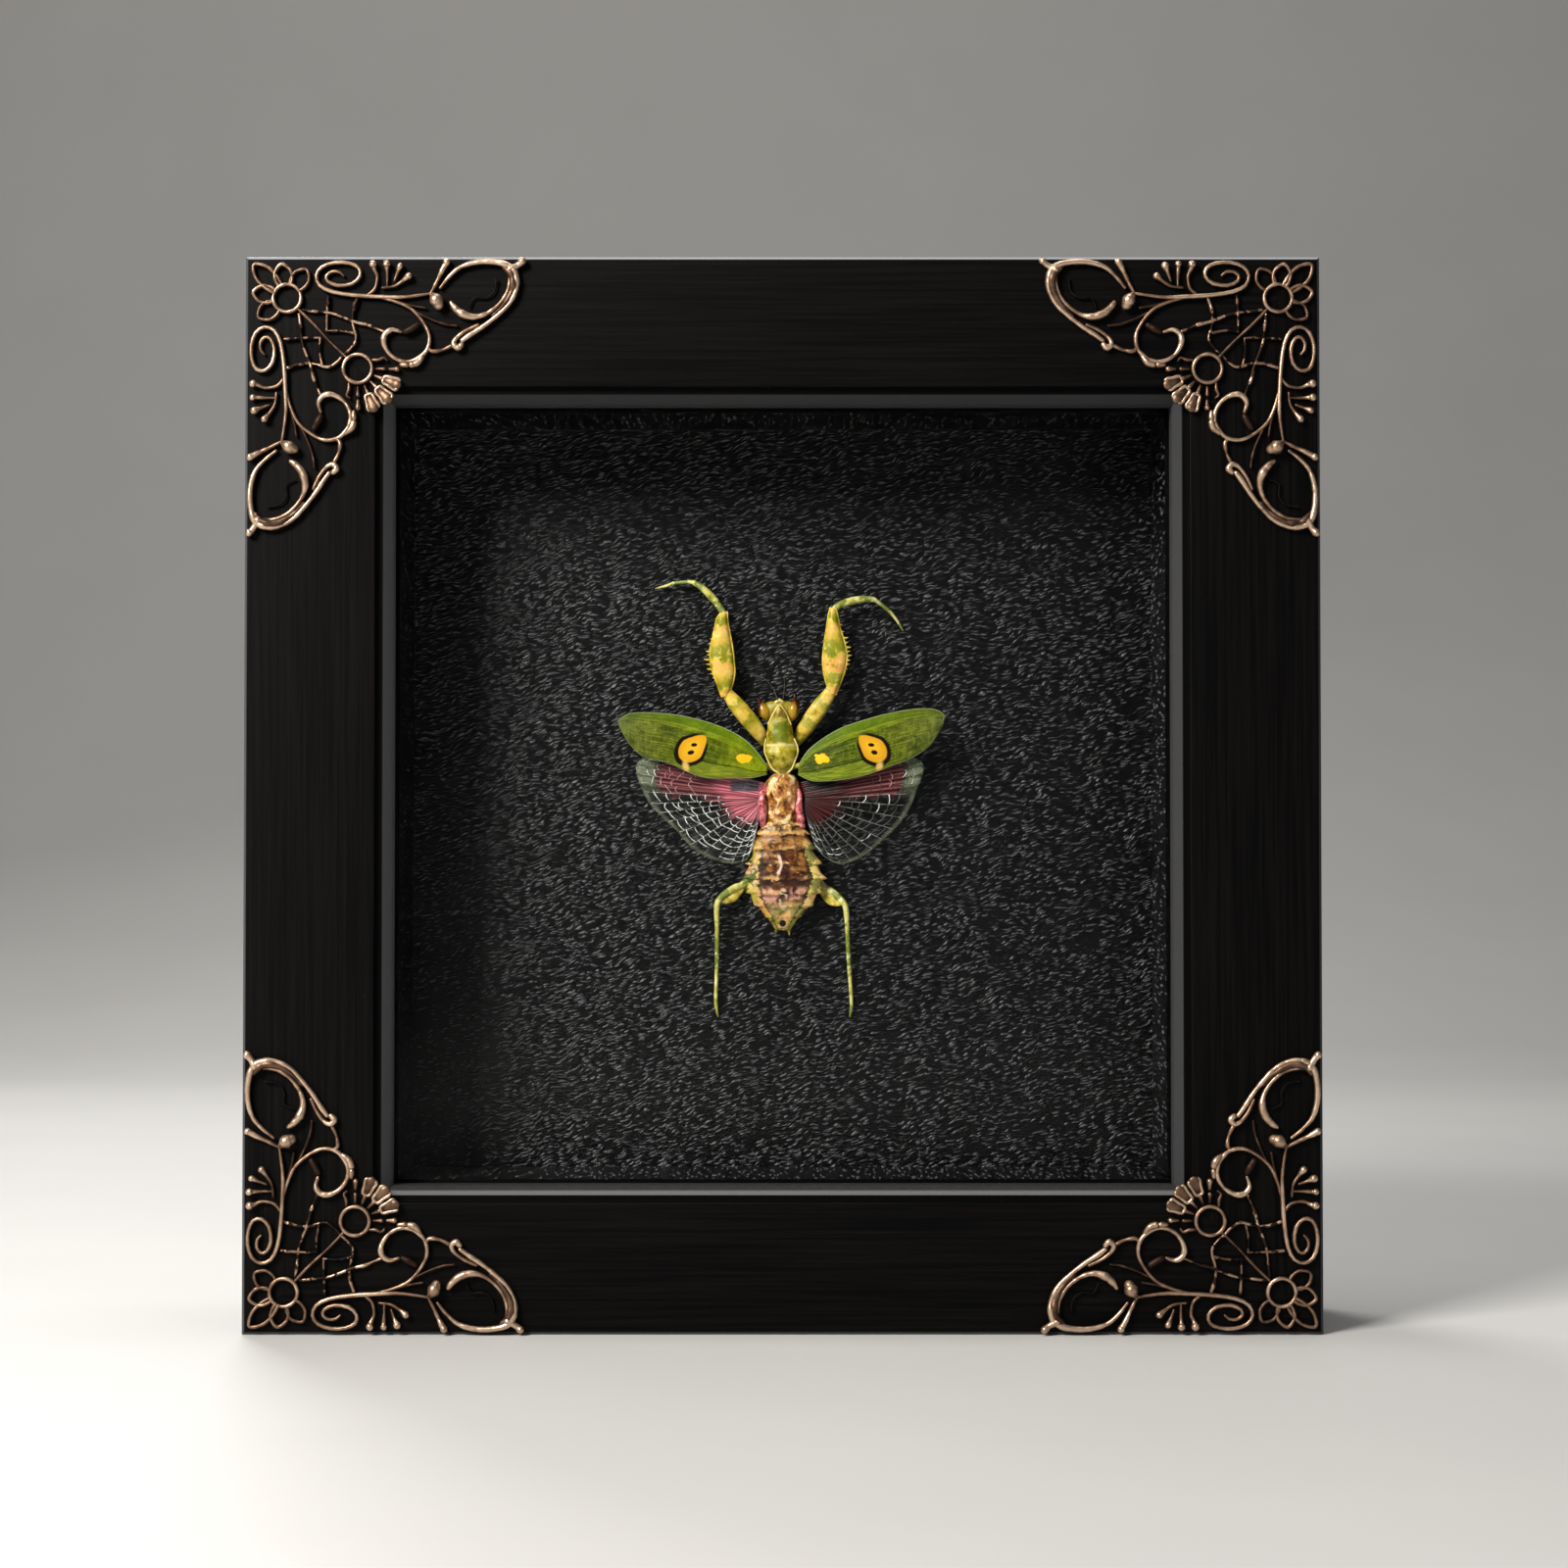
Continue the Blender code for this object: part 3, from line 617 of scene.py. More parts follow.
def bladeRim(centre, angle, start, end, inner, outer):
    c, s = cos(radians(angle)), sin(radians(angle))
    middle = (start + end) / 2
    half = (inner + outer) / 2
    corners = [(start, -inner), (start - 0.15, 0), (start, inner), (middle, half), (end, outer),
               (end + 0.2, 0), (end, -outer), (middle, -half)]
    return [(centre + r * c - w * s, centre + r * s + w * c, 0.24) for r, w in corners]


def filigree():
    # Wires of one corner as (rows of (right, down, half width), closed, tone level), the half ones mirrored
    # too. A tone level below 0 marks the thin web.
    flower = 5.95
    eye = 15.8
    wires = []
    for middle, radius in ((flower, 1.94), (eye, 2.0)):
        turns = (2 * pi * i / ringPoints for i in range(ringPoints))
        ring = [(middle + radius * cos(a), middle + radius * sin(a), 0.3) for a in turns]
        wires.append((ring, True, 1.0))
    wires.append(([(x, y, 0.27) for x, y in petalLoop(flower, -135, 4.7)], False, 0.95))
    wires.append(([(7.4, 7.4, 0.22), (9.6, 9.5, 0.26), (12.0, 12.1, 0.2), (14.3, 14.3, 0.24)], False, 0.85))
    wires.append((fanBlade(eye, 45, 2.6, 3.7, 0.34), False, 0.8))
    wires.append((fanBlade(eye, 45, 4.2, 6.0, 0.78), False, bladeTone))
    wires.append((bladeRim(eye, 45, 4.1, 6.1, 0.5, 0.8), True, 0.9))
    half = [
        ([(x, y, 0.27) for x, y in petalLoop(flower, -100, 2.9)], 0.95),
        ([(x, y, 0.25) for x, y in petalLoop(flower, -56, 2.9)], 0.85),
        # spiral scroll that runs out as the arm's stem
        ([(13.8, 2.8, 0.2), (13.2, 2.3, 0.24), (12.2, 2.25, 0.27), (11.45, 2.8, 0.28), (11.6, 3.6, 0.3),
          (13.0, 4.2, 0.3), (15.0, 3.95, 0.32), (16.1, 2.9, 0.32), (15.9, 1.75, 0.32), (14.6, 1.1, 0.3),
          (12.6, 1.0, 0.3), (10.8, 1.6, 0.3), (10.0, 2.8, 0.3), (10.5, 4.2, 0.3), (12.3, 5.1, 0.32),
          (15.2, 5.55, 0.34), (18.3, 5.75, 0.34), (21.6, 5.85, 0.3), (24.0, 5.6, 0.26), (25.9, 5.3, 0.22)],
         1.0),
        ([(17.2, 5.5, 0.24), (18.2, 4.6, 0.26), (18.5, 3.0, 0.26), (18.1, 1.9, 0.34), (17.95, 1.3, 0.56)],
         0.95),
        ([(19.9, 4.4, 0.18), (19.9, 2.7, 0.24), (19.85, 1.7, 0.34), (19.85, 1.25, 0.56)], 0.95),
        ([(20.9, 3.5, 0.2), (21.3, 2.4, 0.28), (21.7, 1.5, 0.54)], 0.95),
        ([(19.2, 4.5, 0.2), (20.8, 4.3, 0.24), (22.0, 3.6, 0.28), (22.9, 2.9, 0.54)], 0.9),
        ([(25.9, 5.4, 0.22), (26.7, 3.9, 0.3), (27.5, 2.2, 0.38), (28.2, 0.95, 0.55)], 0.95),
        ([(26.3, 5.6, 0.5), (26.8, 6.3, 0.95), (27.1, 7.0, 0.75)], 0.85),
        ([(21.3, 6.4, 0.18), (23.4, 7.0, 0.2), (25.2, 7.3, 0.2)], 0.7),
        ([(23.9, 7.9, 0.2), (26.0, 8.9, 0.2), (28.0, 9.6, 0.22), (29.6, 9.8, 0.2)], 0.65),
        # the leaf-shaped eye at the end of the arm
        ([(27.3, 4.5, 0.26), (28.6, 2.9, 0.3), (30.2, 1.6, 0.36), (32.6, 0.95, 0.42), (35.2, 1.0, 0.45),
          (37.2, 1.7, 0.5), (37.9, 3.2, 0.5), (37.8, 5.0, 0.4), (36.8, 6.9, 0.38), (35.0, 8.6, 0.36),
          (33.2, 10.0, 0.38), (31.5, 11.1, 0.4), (30.4, 11.9, 0.36)], 1.0),
        ([(37.0, 2.0, 0.6), (38.1, 1.4, 0.45), (38.75, 0.85, 0.58)], 0.95),
        ([(36.2, 1.6, 0.3), (37.0, 2.9, 0.36), (36.7, 4.9, 0.34), (35.6, 6.7, 0.32), (33.8, 8.1, 0.34),
          (32.0, 8.6, 0.5), (30.4, 8.2, 0.62), (29.3, 7.3, 0.5), (28.8, 6.6, 0.34)], 0.9),
        ([(32.6, 9.7, 0.26), (30.9, 10.5, 0.3), (29.6, 11.5, 0.32), (29.2, 12.4, 0.42), (29.8, 12.95, 0.5),
          (30.3, 12.5, 0.4)], 0.95),
        # the scroll beside it and the beads on its outer side
        ([(19.0, 5.9, 0.22), (21.2, 6.5, 0.26), (23.3, 7.5, 0.28), (24.9, 9.3, 0.28), (25.8, 11.3, 0.3),
          (25.4, 13.3, 0.34), (23.8, 14.6, 0.34), (22.0, 14.8, 0.34), (20.4, 13.9, 0.34),
          (19.5, 12.4, 0.42), (19.6, 11.1, 0.46), (20.6, 10.4, 0.36), (21.9, 10.7, 0.24)], 1.0),
        ([(24.9, 14.1, 0.36), (24.2, 15.0, 0.5), (23.4, 15.3, 0.5)], 0.85),
        ([(22.7, 15.35, 0.42), (21.9, 15.3, 0.36)], 0.8),
        ([(25.6, 12.8, 0.26), (26.2, 13.4, 0.34), (27.6, 13.2, 0.3), (28.9, 12.6, 0.3)], 0.85),
        # cobweb, dimmed in patches by painted shade
        ([(8.2, 7.6, 0.2), (9.6, 7.8, 0.24), (10.9, 7.9, 0.16), (12.6, 8.2, 0.22), (15.5, 9.3, 0.22),
          (17.2, 9.7, 0.26), (18.4, 10.2, 0.16), (19.4, 10.6, 0.24)], -0.95),
        ([(11.7, 5.7, 0.24), (11.6, 7.0, 0.22), (11.5, 8.8, 0.17), (11.5, 10.6, 0.17)], -0.8),
        ([(11.5, 10.6, 0.16), (13.4, 10.5, 0.18), (15.4, 10.9, 0.2)], -0.75),
        ([(15.7, 6.1, 0.24), (15.2, 7.6, 0.26), (15.1, 9.4, 0.2), (15.6, 11.6, 0.22), (14.9, 12.9, 0.2),
          (13.8, 13.9, 0.22)], -0.9),
        (fanBlade(eye, 22.5, 2.6, 3.7, 0.34), 0.8),
        (fanBlade(eye, 22.5, 4.2, 5.9, 0.76), bladeTone),
        (fanBlade(eye, 1, 2.6, 3.7, 0.3), 0.75),
        (fanBlade(eye, 1, 4.5, 5.5, 0.4), 0.8),
        ([(17.9, 14.6, 0.22), (18.7, 14.6, 0.26), (19.5, 14.3, 0.24), (19.9, 14.7, 0.2)], 0.8),
        # dark bar at the scroll's open end and a faint line in the leaf
        ([(22.5, 10.7, 0.46), (23.3, 10.3, 0.5), (24.1, 9.8, 0.46)], 0.2),
        ([(36.2, 1.7, 0.4), (37.3, 2.8, 0.6), (37.35, 4.8, 0.55), (36.2, 6.9, 0.4), (34.6, 8.4, 0.3)], 0.45),
        ([(35.1, 3.3, 0.16), (34.8, 5.0, 0.14), (33.6, 5.9, 0.13), (32.0, 5.9, 0.13), (31.3, 7.2, 0.14)],
         0.1),
    ]
    for angle in (22.5, 67.5):
        wires.append((bladeRim(eye, angle, 4.1, 6.0, 0.48, 0.78), True, 0.9))
    for rows, toneLevel in half:
        wires.append((rows, False, toneLevel))
        wires.append(([(b, a, r) for a, b, r in rows], False, toneLevel))
    return wires


def makeCorners(finish):
    shape = newShape()
    for number, (rows, closed, toneLevel) in enumerate(filigree()):
        steps = 2 if len(rows) == ringPoints else 8
        path = smoothPath(rows, steps, closed)
        plate = toneLevel == bladeTone
        raised = 0.3 if closed and len(rows) == rimPoints else 0.0
        line = []
        for a, b, r in path:
            # hand-worked unevenness
            r *= 1 + 0.16 * lumps(a * 1.1, b * 1.1, number)
            lift = 0.35 + raised + r * 0.75 + 0.1 * lumps(a * 0.5, b * 0.5, number + 9)
            line.append((a, lift, b, max(0.14, r * (1.12 if toneLevel < 0 else 0.98))))
        first = len(shape["verts"])
        addTube(shape, line, sides=10, flat=0.4 if plate else 1.15, closed=closed)
        for k in range(first, len(shape["verts"])):
            # tone rises with height off the rail, for the painted highlight on the wire tops
            full = 0.86 if toneLevel < 0 or raised else 1.05
            tone = min(1.0, shape["verts"][k].y / full) * (0.3 + 0.7 * abs(toneLevel))
            shape["marks"][k] = (tone, float(toneLevel < 0), 0)
    for turn, (row, column) in enumerate((("top", "left"), ("top", "right"), ("bottom", "right"),
                                          ("bottom", "left"))):
        placed = newShape()
        placed["faces"] = [tuple(reversed(f)) for f in shape["faces"]]
        placed["marks"] = shape["marks"]
        spin = Matrix.Rotation(turn * pi / 2, 3, "Y")
        for v in shape["verts"]:
            height = clamp(v.y, 0.02, 2.2)
            corner = spin @ Vector((v.x - 75, 0, 75 - v.z))
            placed["verts"].append(Vector((corner.x, frontY - height, corner.z + 75)))
        build(placed, f"{row}{column.capitalize()}Corner", finish, [f"ornament_{row}_{column}"])


# Insect

def wingSheet(name, way, edges, height, finish, replaced, across, thick):
    # A wing as a sheet between two edges. Marks are (along, across, 0).
    first, second = edges
    rows = []
    count = len(first) - 1
    for i, (a, b) in enumerate(zip(first, second)):
        row = []
        for j in range(across + 1):
            t = j / across
            spot = a.lerp(b, t)
            row.append((onPaper(spot.x, spot.y, height(i / count, t)), (i / count, t, 0)))
        rows.append(row if way < 0 else row[::-1])
    shape = newShape()
    addGrid(shape, rows)
    return build(shape, name, finish, replaced, thickness=thick)


def sheetPoint(edges, u, v):
    # Point on a wing's sheet at a part u along its edges and v across.
    out = []
    for edge in edges:
        place = u * (len(edge) - 1)
        i = min(int(place), len(edge) - 2)
        out.append(edge[i].lerp(edge[i + 1], place - i))
    return out[0].lerp(out[1], v)


def foreHeight(u, v):
    return 4.25 + 1.25 * min(1, u * 2.5) * (1 - 0.25 * min(1, u * 2.5)) * 1.33 + 0.22 * sin(pi * v)


def hindHeight(u, v):
    pleat = 0.17 * sin(u * 11 * pi * 2) * v
    return 3.15 + 1.0 * min(1, 3 * v) * (1 - 0.3 * u) + pleat


# Front and rear edges of the fore wings and outer rims of the hind wings, as (right, up), per side
foreEdges = {
    -1: ([(-2.3, 79.4), (-3.3, 80.9), (-5.2, 83.0), (-8.0, 84.7), (-11.6, 86.0), (-15.8, 86.9),
          (-19.7, 87.2), (-22.5, 87.0), (-24.0, 86.0)],
         [(-2.3, 78.3), (-4.5, 77.75), (-7.5, 77.7), (-10.8, 77.7), (-13.4, 78.4), (-16.6, 79.9),
          (-20.2, 80.8), (-22.3, 82.7), (-23.7, 85.0)]),
    1: ([(2.3, 79.4), (3.6, 81.5), (5.6, 83.2), (8.5, 84.9), (11.9, 86.1), (15.6, 87.1), (19.6, 87.75),
         (22.4, 87.6), (23.7, 86.7)],
        [(2.3, 78.2), (4.1, 77.35), (5.9, 77.25), (9.0, 77.5), (12.3, 78.2), (15.4, 79.3), (18.7, 80.6),
         (21.3, 82.3), (23.3, 85.2)]),
}
hindRims = {
    -1: [(-19.4, 80.75), (-20.9, 80.3), (-21.4, 79.3), (-21.2, 77.9), (-20.6, 76.2), (-19.4, 73.9),
         (-17.7, 72.1), (-15.6, 70.1), (-13.3, 67.6), (-10.4, 65.95), (-7.3, 65.2), (-5.4, 65.7),
         (-4.5, 67.2)],
    1: [(18.8, 80.75), (20.1, 80.3), (20.6, 79.2), (20.3, 77.8), (19.6, 76.0), (18.7, 73.6), (17.1, 71.1),
        (15.0, 69.0), (12.9, 67.1), (10.6, 65.7), (8.4, 65.15), (6.5, 65.9), (4.8, 67.5)],
}


foreLook = {
    "along": ((0.0, 136, 144, 10), (0.1, 84, 102, 2), (0.48, 68, 86, 2), (0.64, 76, 84, 18),
              (0.85, 82, 88, 42), (1.0, 96, 104, 62)),
    "litRootLeft": (146, 158, 12), "shadedRootRight": (30, 42, 0), "threads": (140, 148, 34),
    "ring": (24, 18, 6), "gold": (230, 172, 32), "goldRim": (212, 146, 12), "dots": (30, 16, 6),
    "smallSpot": (246, 194, 36), "pale": (232, 188, 104), "rough": 0.42, "gloss": 0.12,
}


def foreMaterial():
    made, tree, where = material("forewingGreen")
    u, v, _ = marksOf(tree)
    side, _, z = axes(where)
    x = calc("ABSOLUTE", side)
    flow = put(tree, "CombineXYZ", {0: times(u, 9.0), 1: times(v, 30.0)}).outputs[0]
    threads = grain(flow, 1.0, 5, 0.7, 0.6)
    slant = grain(mapped(where, (3.2, 1.0, 0.9), (0, radians(28), 0)), 1.0, 4, 0.65)
    mesh = put(tree, "TexVoronoi", {"Vector": mapped(flow, (3.0, 1.0, 1.0)), "Scale": 0.9},
               feature="DISTANCE_TO_EDGE").outputs["Distance"]
    cloud = grain(where, 0.35, 3)
    colour = ramp(u, *foreLook["along"])
    # painted light: the left wing is lighter near the root, and the right one is darker in painted shade
    litAmount = times(fade(side, 0.5, -0.5), fade(u, 0.5, 0.25))
    colour = tint(colour, litAmount, 0.85, *foreLook["litRootLeft"])
    shadedAmount = times(fade(side, -0.5, 0.5), fade(u, 0.55, 0.3))
    colour = tint(colour, shadedAmount, 0.6, *foreLook["shadedRootRight"])
    colour = tint(colour, fade(threads, 0.45, 0.66), 0.6, *foreLook["threads"])
    colour = tint(colour, fade(slant, 0.5, 0.66), 0.2, 150, 156, 60)
    colour = tint(colour, fade(slant, 0.48, 0.34), 0.35, 36, 58, 2)
    colour = tint(colour, fade(cloud, 0.44, 0.66), 0.6, 34, 50, 2)
    mottle = grain(where, 1.1, 5, 0.7, 0.4)
    colour = tint(colour, fade(mottle, 0.48, 0.34), 0.55, 34, 48, 6)
    colour = tint(colour, fade(mottle, 0.54, 0.68), 0.4, 146, 150, 62)
    # costal strip with its bright vein, and the paler strip behind the dark rear vein
    inner = fade(u, 0.85, 0.45)
    costal = times(fade(v, 0.2, 0.14), 0.45)
    colour = mix(costal, colour, mix(inner, (78, 96, 10), (104, 132, 8)))
    vein = times(stripe(v, 0.21, 0.06, 0.015), inner)
    vein = times(vein, fade(threads, 0.34, 0.62))
    colour = tint(colour, vein, 0.5, 168, 184, 30)
    rear = times(fade(v, 0.7, 0.76), times(fade(u, 0.66, 0.5), 0.8))
    streak = mix(fade(threads, 0.36, 0.6), (58, 84, 4), (150, 158, 48))
    colour = mix(rear, colour, mix(fade(cloud, 0.4, 0.65), streak, (112, 122, 34)))
    seam = times(stripe(v, 0.7, 0.022, 0.006), inner)
    colour = tint(colour, seam, 0.8, 36, 46, 12)
    arched = minus(v, times(calc("SINE", times(u, pi)), 0.05))
    for spread, strength in ((0.33, 0.4), (0.46, 0.5), (0.58, 0.45), (0.12, 0.3)):
        line = stripe(arched, spread, 0.018, 0.006)
        line = times(line, fade(threads, 0.35, 0.6))
        colour = mix(times(line, strength), colour, (160, 166, 60))
    colour = tint(colour, fade(away(v, 0.5), 0.485, 0.5), 0.7, 150, 156, 110)

    def local(centreX, centreZ, angle):
        # Distances along and across a mark's own axis.
        dx = minus(x, centreX)
        dz = minus(z, centreZ)
        c, s = cos(radians(angle)), sin(radians(angle))
        along = plus(times(dx, c), times(dz, s))
        side = minus(times(dz, c), times(dx, s))
        return along, side

    def oval(centreX, centreZ, angle, length, width):
        return ovalReach(*local(centreX, centreZ, angle), length, width)

    wobble = scaled(grain(where, 1.6, 2), 0.3, -0.15)
    # the eyespot is a drop that points forward to the body
    along, side = local(13.15, 81.95, 137)
    ahead = calc("MAXIMUM", along, 0.0)
    length = scaled(fade(along, -0.2, 0.2), 0.45, 2.45)
    width = scaled(ahead, -0.3, 1.85)
    drop = plus(ovalReach(along, calc("ABSOLUTE", side), length, width), times(wobble, 0.3))
    ring = times(fade(drop, 1.27, 1.17), fade(along, 2.9, 1.7))
    colour = mix(ring, colour, foreLook["ring"])
    gold = mix(fade(drop, 0.1, 0.95), foreLook["gold"], foreLook["goldRim"])
    gold = tint(gold, threads, 0.3, 244, 192, 68)
    colour = mix(fade(drop, 0.97, 0.88), colour, gold)
    for look in ((12.9, 82.5, 175, 0.42, 0.24), (13.35, 81.4, 165, 0.46, 0.3)):
        dot = plus(oval(*look), wobble)
        colour = mix(fade(dot, 1.25, 0.9), colour, foreLook["dots"])
    spot = plus(oval(5.65, 80.5, 5, 1.15, 0.72), times(wobble, 4.0))
    colour = mix(fade(spot, 1.1, 0.85), colour, foreLook["smallSpot"])
    pale = plus(oval(14.1, 79.35, 75, 0.75, 0.42), wobble)
    colour = tint(colour, fade(pale, 1.6, 0.5), 0.85, *foreLook["pale"])
    relief = plus(threads, times(fade(mesh, 0.0, 0.12), 0.12))
    normal = bump(relief, 0.6, 0.08)
    return surface(made, colour, foreLook["rough"], normal, gloss=foreLook["gloss"])


hindLooksLitAndShaded = {
    -1: {"rootLight": (246, 152, 162), "rootDark": (160, 66, 82), "bandDark": (84, 38, 42),
         "bandLight": (150, 92, 94), "clear": (40, 37, 36), "patchDark": (58, 58, 68),
         "patchLight": (104, 106, 118), "clearness": 0.24},
    # the right wing's colours are painted shade: darker copies of the left's, as in the shadow of the body
    1: {"rootLight": (92, 14, 10), "rootDark": (22, 3, 2), "bandDark": (74, 28, 30),
        "bandLight": (146, 92, 90), "clear": (16, 14, 13), "patchDark": (8, 6, 6),
        "patchLight": (26, 20, 16), "clearness": 0.12},
}


def hindMaterial(name, look):
    # pleated membrane: dark red band in front, red fan at the root, smoky clear behind
    made, tree, where = material(name)
    u, v, _ = marksOf(tree)
    fine = put(tree, "CombineXYZ", {0: times(u, 60.0), 1: times(v, 3.0)}).outputs[0]
    threads = grain(fine, 1.0, 3, 0.6)
    fold = put(tree, "CombineXYZ", {0: u}).outputs[0]
    waves = {"Vector": fold, "Scale": 7.5, "Distortion": 0.0, "Phase Offset": 1.5}
    rays = put(tree, "TexWave", waves).outputs["Fac"]
    jag = grain(fold, 26.0, 1)
    wisp = grain(where, 0.6, 4, 0.6)
    rough = scaled(wisp, 0.16, -0.08)
    clear = mix(wisp, look["clear"], (74, 72, 68))
    band = times(fade(plus(u, rough), 0.4, 0.33), fade(plus(v, rough), 0.9, 0.8))
    reach = plus(v, rough, scaled(jag, 0.5, -0.25))
    reach = plus(reach, times(fade(u, 0.6, 0.95), 0.1))
    fan = fade(reach, 0.46, 0.3)
    rim = times(fade(v, 0.93, 0.985), 0.7)
    tip = times(fade(u, 0.42, 0.25), fade(v, 0.82, 0.88))
    pale = calc("MAXIMUM", rim, tip)
    colour = mix(pale, clear, (122, 130, 104))
    dark = mix(fade(rays, 0.5, 0.9), look["bandDark"], look["bandLight"])
    dark = tint(dark, threads, 0.5, 44, 16, 22)
    colour = mix(band, colour, dark)
    red = mix(fade(rays, 0.15, 0.75), look["rootLight"], look["rootDark"])
    red = mix(times(fade(threads, 0.35, 0.7), 0.5), red, look["rootDark"])
    red = mix(fade(v, 0.22, 0.55), red, look["rootDark"])
    colour = mix(fan, colour, red)
    # grey-blue bare patch in front of the fan
    x, _, z = axes(where)
    patch = times(stripe(z, 76.6, 0.95, 0.65), stripe(calc("ABSOLUTE", x), 5.5, 2.4, 1.8))
    colour = mix(patch, colour, mix(fade(wisp, 0.3, 0.7), look["patchDark"], look["patchLight"]))
    solid = calc("MAXIMUM", times(band, 0.94), times(fan, 0.96))
    solid = calc("MAXIMUM", solid, times(pale, 0.6))
    solid = calc("MAXIMUM", solid, times(wisp, look["clearness"]))
    normal = bump(plus(rays, threads), 0.6, 0.1)
    return surface(made, colour, 0.36, normal, gloss=0.2, alpha=solid)


def veinMaterial():
    # veins: pale painted glints on the clear part, red towards the root. Marks are (tone, painted light)
    made, tree, where = material("wingVeins")
    wisp = grain(where, 0.9, 4, 0.7)
    tone, litAmount, _ = marksOf(tree)
    glint = times(fade(wisp, 0.35, 0.55), litAmount)
    pale = mix(glint, (50, 50, 46), (250, 250, 244))
    red = mix(times(wisp, litAmount), (40, 10, 12), (255, 176, 180))
    return surface(made, mix(tone, red, pale), 0.35)


def makeWings():
    green = foreMaterial()
    vein = veinMaterial()
    reds = {-1: hindMaterial("hindwingLeft", hindLooksLitAndShaded[-1]), 1: hindMaterial("hindwingRight", hindLooksLitAndShaded[1])}
    for way, word in ((-1, "left"), (1, "right")):
        title = word.capitalize()
        edges = [smoothPath(edge, 8) for edge in foreEdges[way]]
        wingSheet(f"forewing{title}", way, edges, foreHeight, green,
                  [f"forewing_{word}"], across=20, thick=0.1)
        rim = smoothPath(hindRims[way], 12)
        last = len(rim) - 1
        root = []
        for i in range(last + 1):
            front = max(0.0, 1 - 3.2 * i / last)
            root.append(Vector((way * (2.95 - 0.5 * front), 75.0 - 0.9 * i / last + 2.0 * front)))
        wingSheet(f"hindwing{title}", way, (root, rim), hindHeight, reds[way],
                  [f"hindwing_{word}"], across=24, thick=0.05)

        # veins of both wings on this side, in one mesh
        shape = newShape()

        def hindPoint(u, v):
            spot = sheetPoint((root, rim), u, v)
            return onPaper(spot.x, spot.y, hindHeight(u, v) + 0.05)

        def foldOut(u):
            # Ray positions, a little wider apart in the front band.
            return u ** 0.9

        rays = 16
        for k in range(rays + 1):
            u = clamp(foldOut(k / rays), 0.005, 0.995)
            line = []
            for j in range(15):
                v = 0.02 + 0.96 * j / 14
                bend = 0.006 * lumps(k * 3.1, v * 4, way)
                at = hindPoint(clamp(u + bend), v)
                line.append((*at, 0.06 - 0.02 * v if k else 0.12 - 0.05 * v))

            def rayMark(along):
                v = 0.02 + 0.96 * along
                redness = (v - 0.34) * 6 if u > 0.33 else (v - 0.78) * 8
                # ray veins are dimmer on the right side, in painted shade
                return clamp(redness), 0.5 if way < 0 else (0.3 if redness > 0 else 0.08), 0

            addTube(shape, line, sides=5, mark=rayMark)
        for k in range(rays):
            low, high = foldOut(k / rays), foldOut((k + 1) / rays)
            v = (0.34 if low > 0.3 else 0.5) + 0.08 * random.random()
            while v < 0.94:
                slant = 0.07 * (random.random() - 0.45)
                sag = 0.02 * random.random()
                line = []
                for part in (0.0, 0.25, 0.5, 0.75, 1.0):
                    u = clamp(low + (high - low) * part, 0.005, 0.995)
                    at = hindPoint(u, min(0.98, v + slant * part + sag * sin(pi * part)))
                    line.append((*at, 0.055 + 0.02 * random.random()))
                tone = 1.0 if low > 0.3 else 0.15 + 0.8 * (v > 0.84)
                # on the right only some cross veins glint; the rest are in painted shade
                shine = 0.05 + 0.85 * (random.random() < 0.42 * v)
                addTube(shape, line, sides=4, mark=lambda along: (tone, 1.0 if way < 0 else shine, 0))
                v += 0.055 + 0.075 * random.random()
        build(shape, f"hindVeins{title}", vein)

        shape = newShape()
        for v, thick, start, end in ((0.0, 0.11, 0, 1), (0.22, 0.1, 0, 0.9), (0.33, 0.05, 0.1, 0.96),
                (0.46, 0.05, 0.12, 0.97), (0.58, 0.05, 0.12, 0.97), (0.7, 0.06, 0, 0.94),
                (0.84, 0.045, 0.05, 0.8), (1.0, 0.06, 0, 1)):
            line = []
            for j in range(31):
                u = start + (end - start) * j / 30
                spread = v + 0.05 * sin(pi * u) * (1 if 0.25 < v < 0.65 else 0)
                spot = sheetPoint(edges, u, spread)
                at = onPaper(spot.x, spot.y, foreHeight(u, spread) + 0.03)
                line.append((*at, thick * (1.1 - 0.6 * u)))
            addTube(shape, line, sides=5, mark=lambda along: (start + (end - start) * along, v, 0))
        build(shape, f"foreVeins{title}", green)


def bodyShape(stations, steps, sides, press):
    # A body through (up, left, right, low, high) ovals. press(up, angle) is what is added to
    # the reach. Marks are (across as -1 to 1, up, height as 0 to 1).
    rows = smoothPath(stations, steps)
    shape = newShape()
    rings = []
    marks = []
    for up, left, right, low, high in rows:
        ring = []
        mark = []
        for k in range(sides):
            angle = 2 * pi * k / sides
            reach = 1 + press(up, angle)
            across = cos(angle) * reach
            rise = sin(angle) * reach
            spot = (left + right) / 2 + (right - left) / 2 * across
            ring.append(onPaper(spot, up, (low + high) / 2 + (high - low) / 2 * rise))
            mark.append((across, up / 100, 0.5 + 0.5 * rise))
        rings.append(ring)
        marks.append(mark)
    addLoft(shape, rings, marks)
    return shape


def chitin(made, colour, relief, rough=0.38):
    normal = bump(relief, 0.6, 0.14)
    return surface(made, colour, rough, normal, gloss=0.3)


greenLook = {"cloud": ((0.34, 84, 78, 6), (0.46, 150, 134, 24), (0.58, 194, 172, 62), (0.7, 236, 218, 140)),
             "lobe": (92, 110, 10), "mouth": (128, 72, 40), "groove": (224, 206, 140), "rim": (230, 208, 124)}


